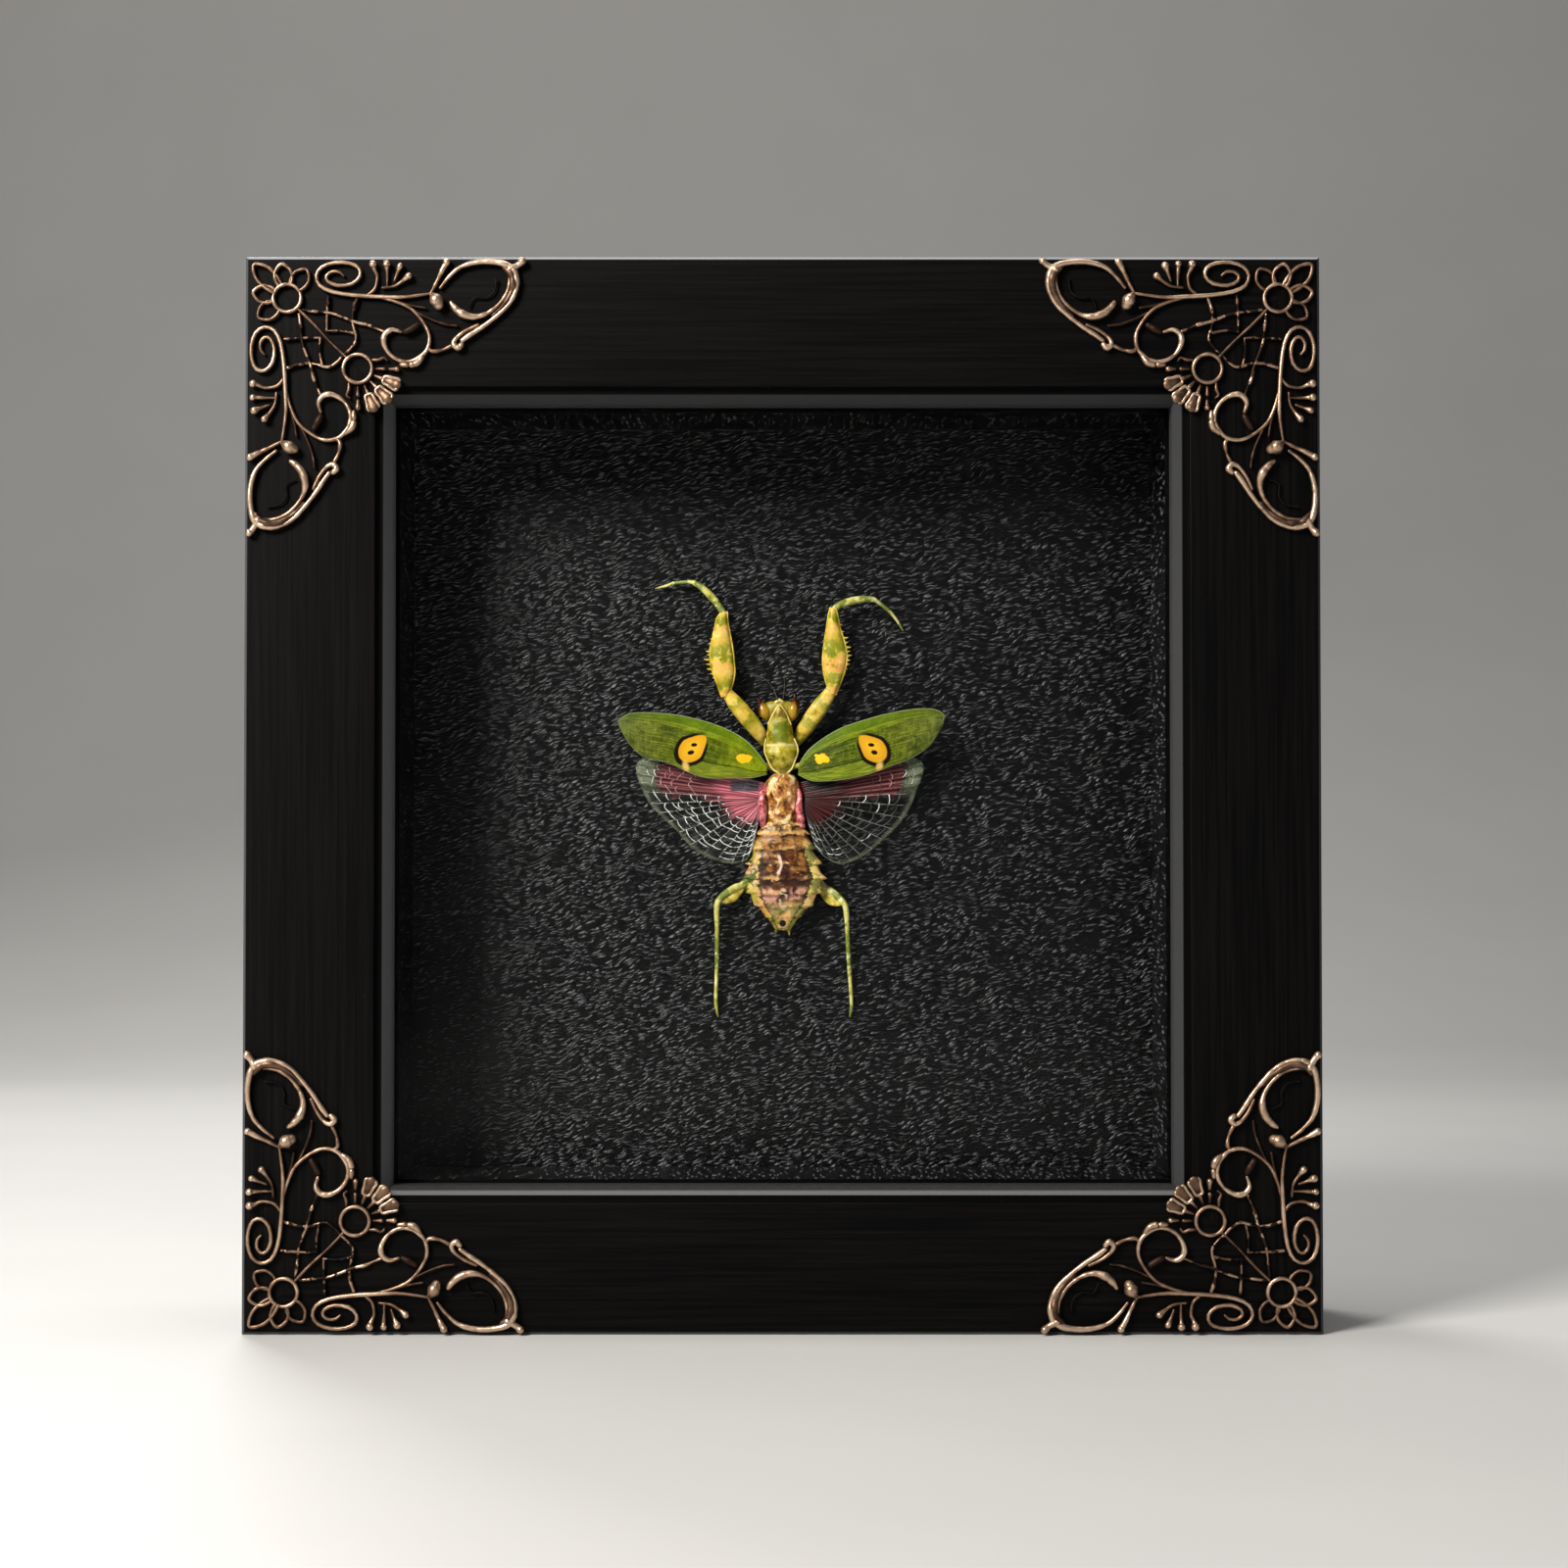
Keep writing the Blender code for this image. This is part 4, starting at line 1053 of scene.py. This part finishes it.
def greenMaterial():
    made, tree, where = material("greenChitin")
    x, _, z = axes(where)
    cloud = grain(where, 0.9, 4, 0.6)
    fine = grain(where, 4.0, 3)
    colour = ramp(cloud, *greenLook["cloud"])
    off = calc("ABSOLUTE", plus(x, 0.3))
    lobe = times(fade(off, 1.35, 0.75), between(z, 82.6, 83.2, 85.6, 86.4))
    colour = tint(colour, lobe, 0.8, *greenLook["lobe"])
    mouth = times(fade(off, 0.5, 0.2), stripe(z, 87.1, 0.6, 0.3))
    colour = tint(colour, mouth, 0.7, *greenLook["mouth"])
    colour = tint(colour, fade(z, 80.3, 79.0), 0.45, 104, 88, 40)
    groove = stripe(z, 82.55, 0.28, 0.05)
    colour = tint(colour, groove, 0.7, *greenLook["groove"])
    patch = times(fade(cloud, 0.5, 0.62), fade(off, 0.4, 1.0))
    colour = tint(colour, patch, 0.35, 92, 112, 34)
    colour = tint(colour, fade(z, 85.6, 86.6), 0.32, 66, 60, 8)
    rim = fade(marksOf(tree)[0], 1.4, 1.8)
    colour = tint(colour, rim, 0.85, *greenLook["rim"])
    return chitin(made, colour, plus(cloud, times(fine, 0.4)))


eyeLook = {"dark": (124, 104, 20), "light": (208, 152, 40), "tip": (60, 22, 12), "rough": 0.25}


def eyeMaterial():
    made, tree, where = material("driedEyes")
    along = marksOf(tree)[1]
    stripes = grain(mapped(where, (2.6, 1, 0.5)), 1.4, 3)
    colour = mix(stripes, eyeLook["dark"], eyeLook["light"])
    outer = calc("ABSOLUTE", plus(axes(where)[0], 0.6))
    dark = plus(fade(along, 0.42, 0.8), fade(outer, 2.35, 2.9))
    colour = mix(calc("MINIMUM", dark, 1.0), colour, eyeLook["tip"])
    return surface(made, colour, eyeLook["rough"], bump(stripes, 0.3, 0.05))


goldLook = {"folds": ((0.35, 44, 18, 8), (0.43, 130, 74, 32), (0.51, 196, 138, 70), (0.61, 255, 228, 170)),
            "blush": (214, 136, 108)}


def goldMaterial():
    made, _, where = material("goldenChitin")
    folds = grain(mapped(where, (1.0, 1.0, 0.7)), 0.85, 5, 0.6, 0.5)
    fine = grain(where, 4.5, 3)
    # colour by the fold noise: the thorax's golden tone, with painted shade in the creases and painted
    # highlight on the crests
    colour = ramp(folds, *goldLook["folds"])
    blush = fade(grain(where, 0.5, 2), 0.52, 0.68)
    colour = tint(colour, blush, 0.4, *goldLook["blush"])
    return chitin(made, colour, plus(folds, times(fine, 0.2)), 0.34)


plateEdges = (71.0, 69.4, 67.2, 65.1, 62.9, 60.8, 58.9, 57.3, 55.4)


def abdomenMaterial():
    made, tree, where = material("abdomenChitin")
    across, _, _ = marksOf(tree)
    x, _, z = axes(where)
    folds = grain(mapped(where, (1.0, 1.0, 1.6)), 0.8, 5, 0.65, 0.7)
    fine = grain(where, 4.0, 3)
    off = calc("ABSOLUTE", across)
    ragged = plus(off, scaled(folds, 0.5, -0.25))
    height = calc("DIVIDE", minus(z, 54.0), 18.0)
    tone = ramp(height, (0.0, 120, 104, 40), (0.22, 190, 130, 78), (0.36, 100, 54, 34), (0.55, 76, 32, 16),
                (0.68, 112, 58, 26), (0.78, 176, 118, 64), (0.95, 226, 180, 112))
    # painted shade in the fold lows and painted highlight on the fold crests
    back = mix(fade(folds, 0.58, 0.38), tone, (40, 20, 10))
    back = tint(back, fade(folds, 0.55, 0.68), 0.85, 250, 202, 140)
    # painted shade in the lengthwise grooves down the middle and beside it
    for middle, strength in ((0.0, 0.5), (0.46, 0.6)):
        trough = stripe(calc("ABSOLUTE", plus(across, scaled(folds, 0.24, -0.12))), middle, 0.1, 0.02)
        back = mix(times(trough, strength), back, (40, 16, 8))
    spread = grain(where, 0.5, 3, 0.6)
    gilt = times(fade(spread, 0.46, 0.58), fade(off, 0.08, 0.35), fade(z, 61.5, 64.5))
    back = tint(back, gilt, 0.65, 190, 126, 60)
    blush = times(fade(spread, 0.56, 0.48), fade(off, 0.1, 0.25),
                  times(fade(z, 62.2, 61.2), fade(z, 57.2, 58.2)))
    back = tint(back, blush, 0.8, 226, 160, 136)
    # each plate ends in a painted highlight on its pale edge, with painted shade in the gap below it
    level = plus(z, scaled(folds, 1.5, -0.75))
    patchy = fade(grain(where, 0.55, 2), 0.42, 0.6)
    for edge in plateEdges[1:-1]:
        above = minus(level, edge)
        lit = between(above, -0.05, 0.2, 0.3, 0.7)
        gapShade = between(above, -0.7, -0.3, -0.15, 0.05)
        back = tint(back, times(lit, patchy), 0.6, 232, 180, 112)
        back = tint(back, gapShade, 0.6, 26, 10, 4)
    stray = put(tree, "TexNoise", {"Vector": where, "Scale": 1.6, "Detail": 3}).outputs["Color"]
    bent = put(tree, "VectorMath", {0: stray, 1: (1.6, 1.6, 1.6), 2: where},
               operation="MULTIPLY_ADD").outputs[0]
    cells = put(tree, "TexVoronoi", {"Vector": bent, "Scale": 0.72, "Smoothness": 0.15},
                feature="SMOOTH_F1")
    cells = cells.outputs["Color"]
    pick = axes(cells)[0]
    margin = ramp(pick, (0.0, 50, 66, 14), (0.25, 104, 116, 30), (0.42, 176, 160, 56),
                  (0.58, 240, 206, 112), (0.78, 222, 150, 78), (1.0, 244, 206, 160))
    # painted shade in the fold lows of the margins
    margin = tint(margin, fade(folds, 0.52, 0.34), 0.8, 38, 30, 10)
    # painted light and shade: the left margins are darker and the right ones lighter
    shade = mix(fade(x, -0.5, 0.5), (56, 40, 12), (255, 226, 140))
    margin = mix(0.2, margin, shade)
    edge = calc("MAXIMUM", fade(ragged, 0.66, 0.74), times(fade(z, 60.5, 58.5), 0.7))
    edge = times(edge, fade(z, 69.2, 67.6))
    colour = mix(edge, back, margin)
    # painted shadow along the seam between the back plates and the margins
    seam = times(stripe(ragged, 0.66, 0.08, 0.02), 0.8)
    colour = mix(times(seam, fade(z, 68.5, 67.0)), colour, (34, 34, 10))
    squiggle = calc("SINE", times(z, 2.1))
    centre = plus(x, scaled(squiggle, 0.22, 0.42))
    line = times(fade(plus(calc("ABSOLUTE", centre), folds), 0.85, 0.6), between(z, 63.3, 63.9, 66.2, 66.7))
    # pale loop near the end of the abdomen
    loop = plus(ovalReach(away(x, 0.1), minus(z, 60.1), 0.55, 1.2), scaled(folds, 0.6, -0.3))
    tail = stripe(loop, 1.0, 0.5, 0.1)
    tail = times(tail, fade(folds, 0.4, 0.62))
    colour = mix(calc("MAXIMUM", line, times(tail, 0.8)), colour, (240, 200, 182))
    hole = calc("SQRT", plus(calc("POWER", calc("ABSOLUTE", x), 2.0), calc("POWER", minus(z, 56.5), 2.0)))
    colour = mix(fade(hole, 0.62, 0.4), colour, (8, 6, 5))
    return chitin(made, colour, plus(folds, times(fine, 0.2)), 0.33)


antennaLook = {"dark": (34, 30, 24), "light": (64, 58, 44), "rough": 0.5}


def makeBody():
    green = greenMaterial()
    gold = goldMaterial()

    def headPress(up, angle):
        return 0.05 * lumps(up * 1.3, angle * 1.5, 3)

    stations = [(86.2, -1.8, 0.9, 2.4, 3.6), (86.8, -2.3, 1.3, 2.1, 3.9), (87.6, -2.7, 1.75, 2.0, 4.0),
                (88.4, -2.75, 1.8, 2.1, 3.9), (88.85, -2.3, 1.5, 2.4, 3.7), (89.05, -1.3, 0.6, 2.8, 3.4)]
    shape = bodyShape(stations, steps=5, sides=28, press=headPress)
    # crest between the eyes and mouthparts behind
    addTube(shape, [bead(-1.0, 88.8, 3.7, 0.24), bead(-0.5, 89.15, 3.8, 0.27),
                    bead(-0.05, 88.85, 3.7, 0.24)], sides=8, mark=(2, 0, 0))
    build(shape, "headCapsule", green, ["head"])
    eyes = newShape()
    # each eye bulges, leans outward and ends in a point
    for points in ([(-2.2, 86.4, 3.1, 0.3), (-2.45, 86.95, 3.3, 0.72), (-2.75, 87.6, 3.35, 0.9),
                    (-3.1, 88.35, 3.3, 0.66), (-3.4, 88.95, 3.2, 0.32), (-3.65, 89.5, 3.1, 0.08)],
                   [(1.3, 86.3, 3.1, 0.3), (1.45, 86.9, 3.3, 0.72), (1.6, 87.65, 3.35, 0.92),
                    (1.75, 88.5, 3.3, 0.7), (1.8, 89.2, 3.2, 0.36), (1.72, 90.0, 3.1, 0.08)]):
        addTube(eyes, limbRows(points, 5), sides=16, flat=0.95)
    build(eyes, "headEyes", eyeMaterial())
    hairs = newShape()
    for places in ([(-0.75, 89.2, 4.1), (-1.5, 91.0, 3.4), (-3.2, 92.7, 1.8), (-6.2, 93.3, 0.6)],
                   [(0.05, 89.2, 4.1), (0.3, 91.2, 3.4), (0.4, 93.3, 2.0), (1.9, 95.2, 0.7)]):
        line = smoothPath([bead(*p, r) for p, r in zip(places, (0.09, 0.06, 0.045, 0.03))], 8)
        addTube(hairs, line, sides=5)
    dark, _, where = material("antennae")
    tone = mix(grain(where, 1.5, 2), antennaLook["dark"], antennaLook["light"])
    surface(dark, tone, antennaLook["rough"])
    build(hairs, "antennae", dark)

    def chestPress(up, angle):
        wave = 0.035 * cos((up - 78.4) * 4.4) * max(0, sin(angle))
        ridge = 0.06 * max(0, cos(angle - pi / 2)) ** 10
        return wave + ridge + 0.04 * lumps(up * 0.9, angle * 1.6, 7)

    stations = [(88.35, -0.75, -0.15, 3.9, 4.4), (87.9, -1.0, 0.15, 3.6, 4.6),
                (87.2, -1.35, 0.55, 3.2, 4.75), (86.5, -1.75, 0.9, 2.9, 4.75), (85.8, -2.1, 1.2, 2.6, 4.75),
                (84.6, -2.3, 1.5, 2.3, 4.8), (83.3, -2.4, 1.75, 2.3, 4.8), (82.6, -2.5, 2.0, 2.3, 4.55),
                (81.6, -2.75, 2.3, 2.3, 4.85), (80.2, -2.15, 1.8, 2.4, 4.8), (79.2, -1.5, 1.35, 2.6, 4.6),
                (78.35, -1.0, 1.05, 2.8, 4.3)]
    shape = bodyShape(stations, steps=5, sides=32, press=chestPress)
    for side in (-1, 1):
        addTube(shape, [bead(side * 1.3, 79.3, 3.2, 0.4), bead(side * 2.1, 79.5, 3.7, 0.42),
                        bead(side * 2.7, 79.7, 4.1, 0.3)], sides=8)
    # pale rim that runs down both sides and meets behind
    rim = [(-2.45, 83.4, 3.9, 0.1), (-2.65, 81.8, 3.9, 0.12), (-2.05, 80.1, 4.0, 0.13),
           (-1.3, 78.9, 4.1, 0.14), (0.1, 78.3, 4.15, 0.15), (1.2, 78.9, 4.1, 0.14),
           (1.75, 80.1, 4.0, 0.13), (2.25, 81.8, 3.9, 0.12), (1.75, 83.4, 3.9, 0.13)]
    addTube(shape, limbRows(rim, 5), sides=8, mark=(2, 0, 0))
    crown = [(-2.1, 85.6, 4.0, 0.13), (-1.35, 87.1, 4.2, 0.16), (-0.45, 88.3, 4.35, 0.16),
             (0.5, 87.1, 4.2, 0.16), (1.2, 85.6, 4.0, 0.13)]
    addTube(shape, limbRows(crown, 5), sides=8, mark=(2, 0, 0))
    build(shape, "prothoraxShield", green, ["prothorax"])

    def foldPress(up, angle):
        lump = lumps(cos(angle) * 1.6, sin(angle) * 1.6, up * 0.95)
        fine = lumps(cos(angle) * 4, sin(angle) * 4, up * 2.3)
        ridge = max(0, cos(angle - pi / 2)) ** 12
        return 0.17 * lump + 0.09 * fine - 0.1 * ridge * (0.5 + 0.5 * sin(up * 3.1))

    stations = [(78.35, -1.2, 1.3, 2.4, 4.1), (77.5, -2.2, 2.1, 1.4, 4.7), (76.4, -2.6, 2.4, 0.5, 4.95),
                (75.0, -2.6, 2.2, 0.35, 4.7), (74.0, -2.6, 2.2, 0.35, 4.5), (72.9, -2.4, 2.05, 0.4, 4.7),
                (71.9, -2.2, 2.05, 1.2, 4.6), (71.0, -2.1, 2.1, 1.8, 4.3)]
    shape = bodyShape(stations, steps=7, sides=40, press=foldPress)
    build(shape, "thoraxBack", gold, ["thorax"])

    def segmentPress(up, angle):
        # Overlapping plates: each swells towards its rear edge, and its margin ends in a lobe.
        part = 0.0
        for high, low in zip(plateEdges, plateEdges[1:]):
            if low <= up <= high:
                part = (high - up) / (high - low)
        plate = 0.08 * (part ** 1.6) - 0.05
        lobe = 0.09 * part ** 2 * abs(cos(angle)) ** 6
        trough = -0.05 * max(0, cos(angle - pi / 2)) ** 14
        shelf = -0.12 * (0.5 - 0.5 * cos(2 * (angle - pi / 2))) * (0.35 < abs(cos(angle)) < 0.72)
        lump = lumps(cos(angle) * 2.2, sin(angle) * 2.2, up * 0.9)
        return plate + lobe + trough + shelf * 0.5 + 0.07 * lump

    stations = [(71.2, -2.6, 2.6, 1.9, 4.2), (69.9, -3.55, 3.5, 1.7, 4.6), (68.6, -4.0, 4.05, 1.65, 4.65),
                (67.2, -4.4, 4.6, 1.65, 4.65), (65.4, -4.9, 5.2, 1.65, 4.65), (63.6, -5.3, 5.8, 1.65, 4.6),
                (62.3, -5.25, 5.85, 1.65, 4.55), (60.8, -4.8, 5.2, 1.65, 4.45),
                (59.2, -3.9, 4.15, 1.8, 4.3), (57.6, -2.5, 2.6, 2.0, 4.1), (56.2, -1.5, 1.6, 2.3, 3.8),
                (55.5, -0.9, 1.0, 2.6, 3.5)]
    shape = bodyShape(stations, steps=9, sides=56, press=segmentPress)
    for side in (-1, 1):
        addTube(shape, [bead(side * 0.6, 56.3, 3.1, 0.32), bead(side * 0.95, 55.3, 2.9, 0.22),
                        bead(side * 1.0, 54.8, 2.8, 0.1)], sides=8)
    build(shape, "abdomenBack", abdomenMaterial(), ["abdomen"])


tissueLook = {"folds": ((0.35, 110, 36, 44), (0.5, 204, 100, 108), (0.68, 250, 178, 170)), "rough": 0.3}


def makeWingJoints():
    # soft pink tissue between the thorax and the hindwings
    made, _, where = material("pinkTissue")
    folds = grain(where, 1.6, 4, 0.6)
    colour = ramp(folds, *tissueLook["folds"])
    surface(made, colour, tissueLook["rough"], bump(folds, 0.6, 0.12))
    shape = newShape()
    for points in ([(-2.5, 76.4, 3.4, 0.35), (-3.0, 75.2, 3.8, 0.5), (-3.0, 73.9, 3.9, 0.55),
                    (-2.9, 72.6, 3.7, 0.6), (-2.9, 71.0, 3.4, 0.45)],
                   [(2.3, 76.0, 3.4, 0.3), (2.5, 74.9, 3.8, 0.42), (2.4, 73.5, 3.9, 0.55),
                    (2.6, 72.1, 3.7, 0.6), (2.9, 70.6, 3.4, 0.4)]):
        rows = limbRows(points, 6)
        rows = [(x, y, z, r * (1 + 0.3 * lumps(x, y, z * 2.3))) for x, y, z, r in rows]
        addTube(shape, rows, sides=12)
    build(shape, "wingJoints", made)


legLook = {"cloud": ((0.32, 140, 124, 14), (0.46, 200, 170, 48), (0.66, 234, 206, 108)),
           "washed": ((0.32, 140, 136, 44), (0.46, 196, 188, 96), (0.66, 230, 222, 158)),
           "bands": (112, 122, 18), "washedBands": (84, 104, 22), "tan": (236, 168, 92)}


def legMaterial():
    made, tree, where = material("legChitin")
    kind, along, seed = marksOf(tree)
    cloud = grain(where, 0.8, 4, 0.6)
    fine = grain(where, 4.0, 3)
    base = ramp(cloud, *legLook["cloud"])
    light = fade(kind, 1.4, 1.8)
    washed = ramp(cloud, *legLook["washed"])
    base = mix(light, base, washed)
    cycle = scaled(along, 22.0, scaled(cloud, 9.0, seed))
    wave = calc("SINE", cycle)
    green = times(fade(wave, 0.0, 0.95), scaled(kind, 0.25, 0.5))
    green = calc("MINIMUM", green, 0.8)
    colour = mix(green, base, mix(light, legLook["bands"], legLook["washedBands"]))
    tan = times(fade(wave, -0.1, -0.95), times(kind, fade(light, 1, 0)))
    colour = tint(colour, tan, 0.75, *legLook["tan"])
    return chitin(made, colour, plus(cloud, times(fine, 0.3)))


def makeLegs():
    finish = legMaterial()
    femur = {
        -1: [(102.1, -8.9, -8.1), (101.2, -9.6, -8.1), (100.2, -9.85, -7.95), (98.6, -10.2, -7.65),
             (96.6, -10.6, -7.3), (94.8, -10.6, -7.1), (93.2, -10.2, -7.0), (91.6, -9.6, -7.3),
             (90.4, -9.2, -7.7), (89.6, -8.9, -8.0)],
        1: [(102.7, 7.0, 7.8), (101.8, 6.75, 8.0), (100.8, 6.6, 8.2), (99.5, 6.4, 8.5), (97.6, 6.15, 9.1),
            (95.6, 5.9, 9.45), (93.8, 5.95, 9.2), (92.0, 6.3, 8.6), (90.8, 6.7, 8.1), (90.0, 6.9, 7.8)],
    }
    coxa = {
        -1: [(-2.7, 83.1, 1.7, 0.55), (-3.6, 84.6, 2.3, 0.85), (-5.0, 86.4, 2.7, 0.95),
             (-6.6, 88.3, 2.8, 0.92), (-7.8, 89.8, 2.8, 0.7), (-8.5, 90.5, 2.8, 0.62)],
        1: [(2.1, 83.1, 1.7, 0.55), (3.0, 84.6, 2.3, 0.85), (4.3, 86.5, 2.7, 0.95), (5.7, 88.5, 2.8, 0.92),
            (6.8, 90.1, 2.8, 0.7), (7.2, 90.9, 2.8, 0.62)],
    }
    shank = {
        -1: [(-8.5, 101.6, 2.8, 0.42), (-9.1, 102.6, 2.8, 0.5), (-10.2, 104.1, 2.7, 0.56),
             (-11.6, 105.5, 2.5, 0.5), (-12.8, 106.35, 2.2, 0.4), (-13.6, 106.6, 1.9, 0.28),
             (-15.8, 106.5, 1.3, 0.26), (-17.2, 106.1, 0.9, 0.2), (-18.7, 105.75, 0.5, 0.13)],
        1: [(7.4, 102.2, 2.8, 0.42), (8.1, 103.0, 2.8, 0.5), (9.6, 103.6, 2.7, 0.54),
            (11.6, 104.0, 2.5, 0.52), (13.2, 104.0, 2.2, 0.4), (13.9, 103.7, 2.0, 0.28),
            (15.6, 102.4, 1.3, 0.26), (16.7, 101.2, 0.9, 0.2), (17.7, 99.6, 0.5, 0.13)],
    }
    spines = {
        -1: [(-9.9, 101.0), (-10.15, 99.6), (-10.25, 98.9), (-10.7, 98.1), (-10.9, 97.4), (-11.3, 96.3),
             (-11.1, 95.8), (-11.55, 95.1), (-11.2, 94.4), (-11.1, 93.7), (-10.6, 93.0), (-10.3, 92.4)],
        1: [(8.7, 100.2), (9.0, 99.2), (9.6, 98.3), (9.6, 97.6), (10.0, 96.9), (9.9, 96.3), (10.15, 95.7),
            (9.9, 95.0), (9.75, 94.4), (9.5, 93.7), (9.15, 93.0), (8.8, 92.2)],
    }
    hind = {
        -1: [(-1.5, 71.0, 0.75, 0.35), (-3.6, 65.2, 0.75, 0.5), (-5.6, 62.3, 0.95, 0.55),
             (-7.0, 61.6, 1.5, 0.6), (-8.3, 60.8, 2.0, 0.55), (-9.3, 59.9, 2.4, 0.46),
             (-9.65, 58.8, 2.4, 0.42), (-9.6, 55.5, 2.0, 0.34), (-9.65, 50.4, 1.2, 0.31),
             (-9.8, 46.0, 0.8, 0.26), (-9.75, 44.2, 0.6, 0.24), (-9.5, 42.9, 0.45, 0.16)],
        1: [(1.6, 71.0, 0.75, 0.35), (3.9, 65.0, 0.75, 0.5), (5.9, 61.9, 0.95, 0.55), (7.0, 61.2, 1.5, 0.6),
            (8.0, 60.4, 2.0, 0.55), (8.9, 59.5, 2.4, 0.46), (9.3, 58.4, 2.4, 0.42), (9.5, 55.0, 2.0, 0.34),
            (9.8, 49.7, 1.2, 0.31), (10.05, 46.0, 0.8, 0.26), (10.1, 44.0, 0.6, 0.24),
            (9.9, 42.8, 0.45, 0.16)],
    }
    for way, word in ((-1, "left"), (1, "right")):
        title = word.capitalize()
        shape = newShape()
        rings = []
        marks = []
        rows = smoothPath(femur[way], 5)
        for i, (up, low, high) in enumerate(rows):
            half = (high - low) / 2
            ring = []
            for k in range(20):
                angle = 2 * pi * k / 20
                thick = min(0.85, half * 1.05)
                ring.append(onPaper((low + high) / 2 + half * cos(angle), up, 2.85 + thick * sin(angle)))
            rings.append(ring)
            marks.append([(1.0, i / (len(rows) - 1) * 0.9, 0.4)] * 20)
        addLoft(shape, rings, marks)
        broad = [(x, up, rise, radius * 1.32) for x, up, rise, radius in coxa[way]]
        addTube(shape, limbRows(broad, 5), sides=14, flat=0.6, mark=(0.3, 0, 2.0))
        # pale rims along both edges of the femur
        for pick in (1, 2):
            rim = [(row[pick], row[0], 3.0, 0.14) for row in femur[way]]
            addTube(shape, limbRows(rim, 5), sides=6, mark=(0, 0, 4.0))
        addTube(shape, limbRows(shank[way], 5), sides=12, mark=(2.0, 0, 0.0))
        for across, up in spines[way]:
            line = [bead(across - way * 1.2, up - 0.05, 2.9, 0.26),
                    bead(across - way * 0.4, up - 0.02, 2.95, 0.17), bead(across, up + 0.05, 3.0, 0.03)]
            addTube(shape, line, sides=6, mark=(0.0, 0, 4.0))
        # short teeth along both edges of the coxa
        rows = limbRows(coxa[way], 5)
        for k in range(4, len(rows) - 3, 2):
            here = Vector(rows[k][:3])
            run = (Vector(rows[k + 1][:3]) - here).normalized()
            out = Vector((-run.z, 0, run.x))
            for sign in (-1, 1):
                tip = here + out * sign * (rows[k][3] + 0.22)
                addTube(shape, [(*(here + out * sign * rows[k][3] * 0.8), 0.12), (*tip, 0.03)], sides=5,
                        mark=(0, 0, 4))
        build(shape, f"foreleg{title}", finish, [f"foreleg_{word}"])

        shape = newShape()
        addTube(shape, limbRows(hind[way], 6), sides=12, mark=(2.0, 0, 1.0))
        # leaf-like lobe below the knee end of the femur
        foot = hind[way][4]
        lobe = [(foot[0] + way * 0.9, foot[1] - 0.9, 2.2, 0.3),
                (foot[0] + way * 0.1, foot[1] - 0.75, 2.0, 0.75),
                (foot[0] - way * 0.9, foot[1] - 0.3, 1.7, 0.95),
                (foot[0] - way * 1.9, foot[1] + 0.5, 1.4, 0.65),
                (foot[0] - way * 2.8, foot[1] + 1.2, 1.1, 0.3)]
        addTube(shape, limbRows(lobe, 5), sides=12, flat=0.35, mark=(0.0, 0, 1.5))
        build(shape, f"hindLeg{title}", finish, [f"hind_leg_{word}"])


# Start of the work

def main():
    makeStage()
    makeRails(paintMaterial())
    repaint(["backing_board"], paperMaterial("embossedPaper"))
    repaint(["liner_bottom", "liner_left", "liner_top", "liner_right"], paperMaterial("slipPaper"))
    repaint(["glass_pane"], glassMaterial())
    repaint(["back_panel"], boardMaterial())
    repaint(["tab_left_lower", "tab_left_upper", "tab_right_lower", "tab_right_upper", "sawtooth_hanger"],
            steelMaterial())
    print("frame, glass and paper are made")
    makeCorners(bronzeMaterial())
    print("corners are made")
    makeWings()
    makeBody()
    makeWingJoints()
    makeLegs()
    print("insect is made")


main()
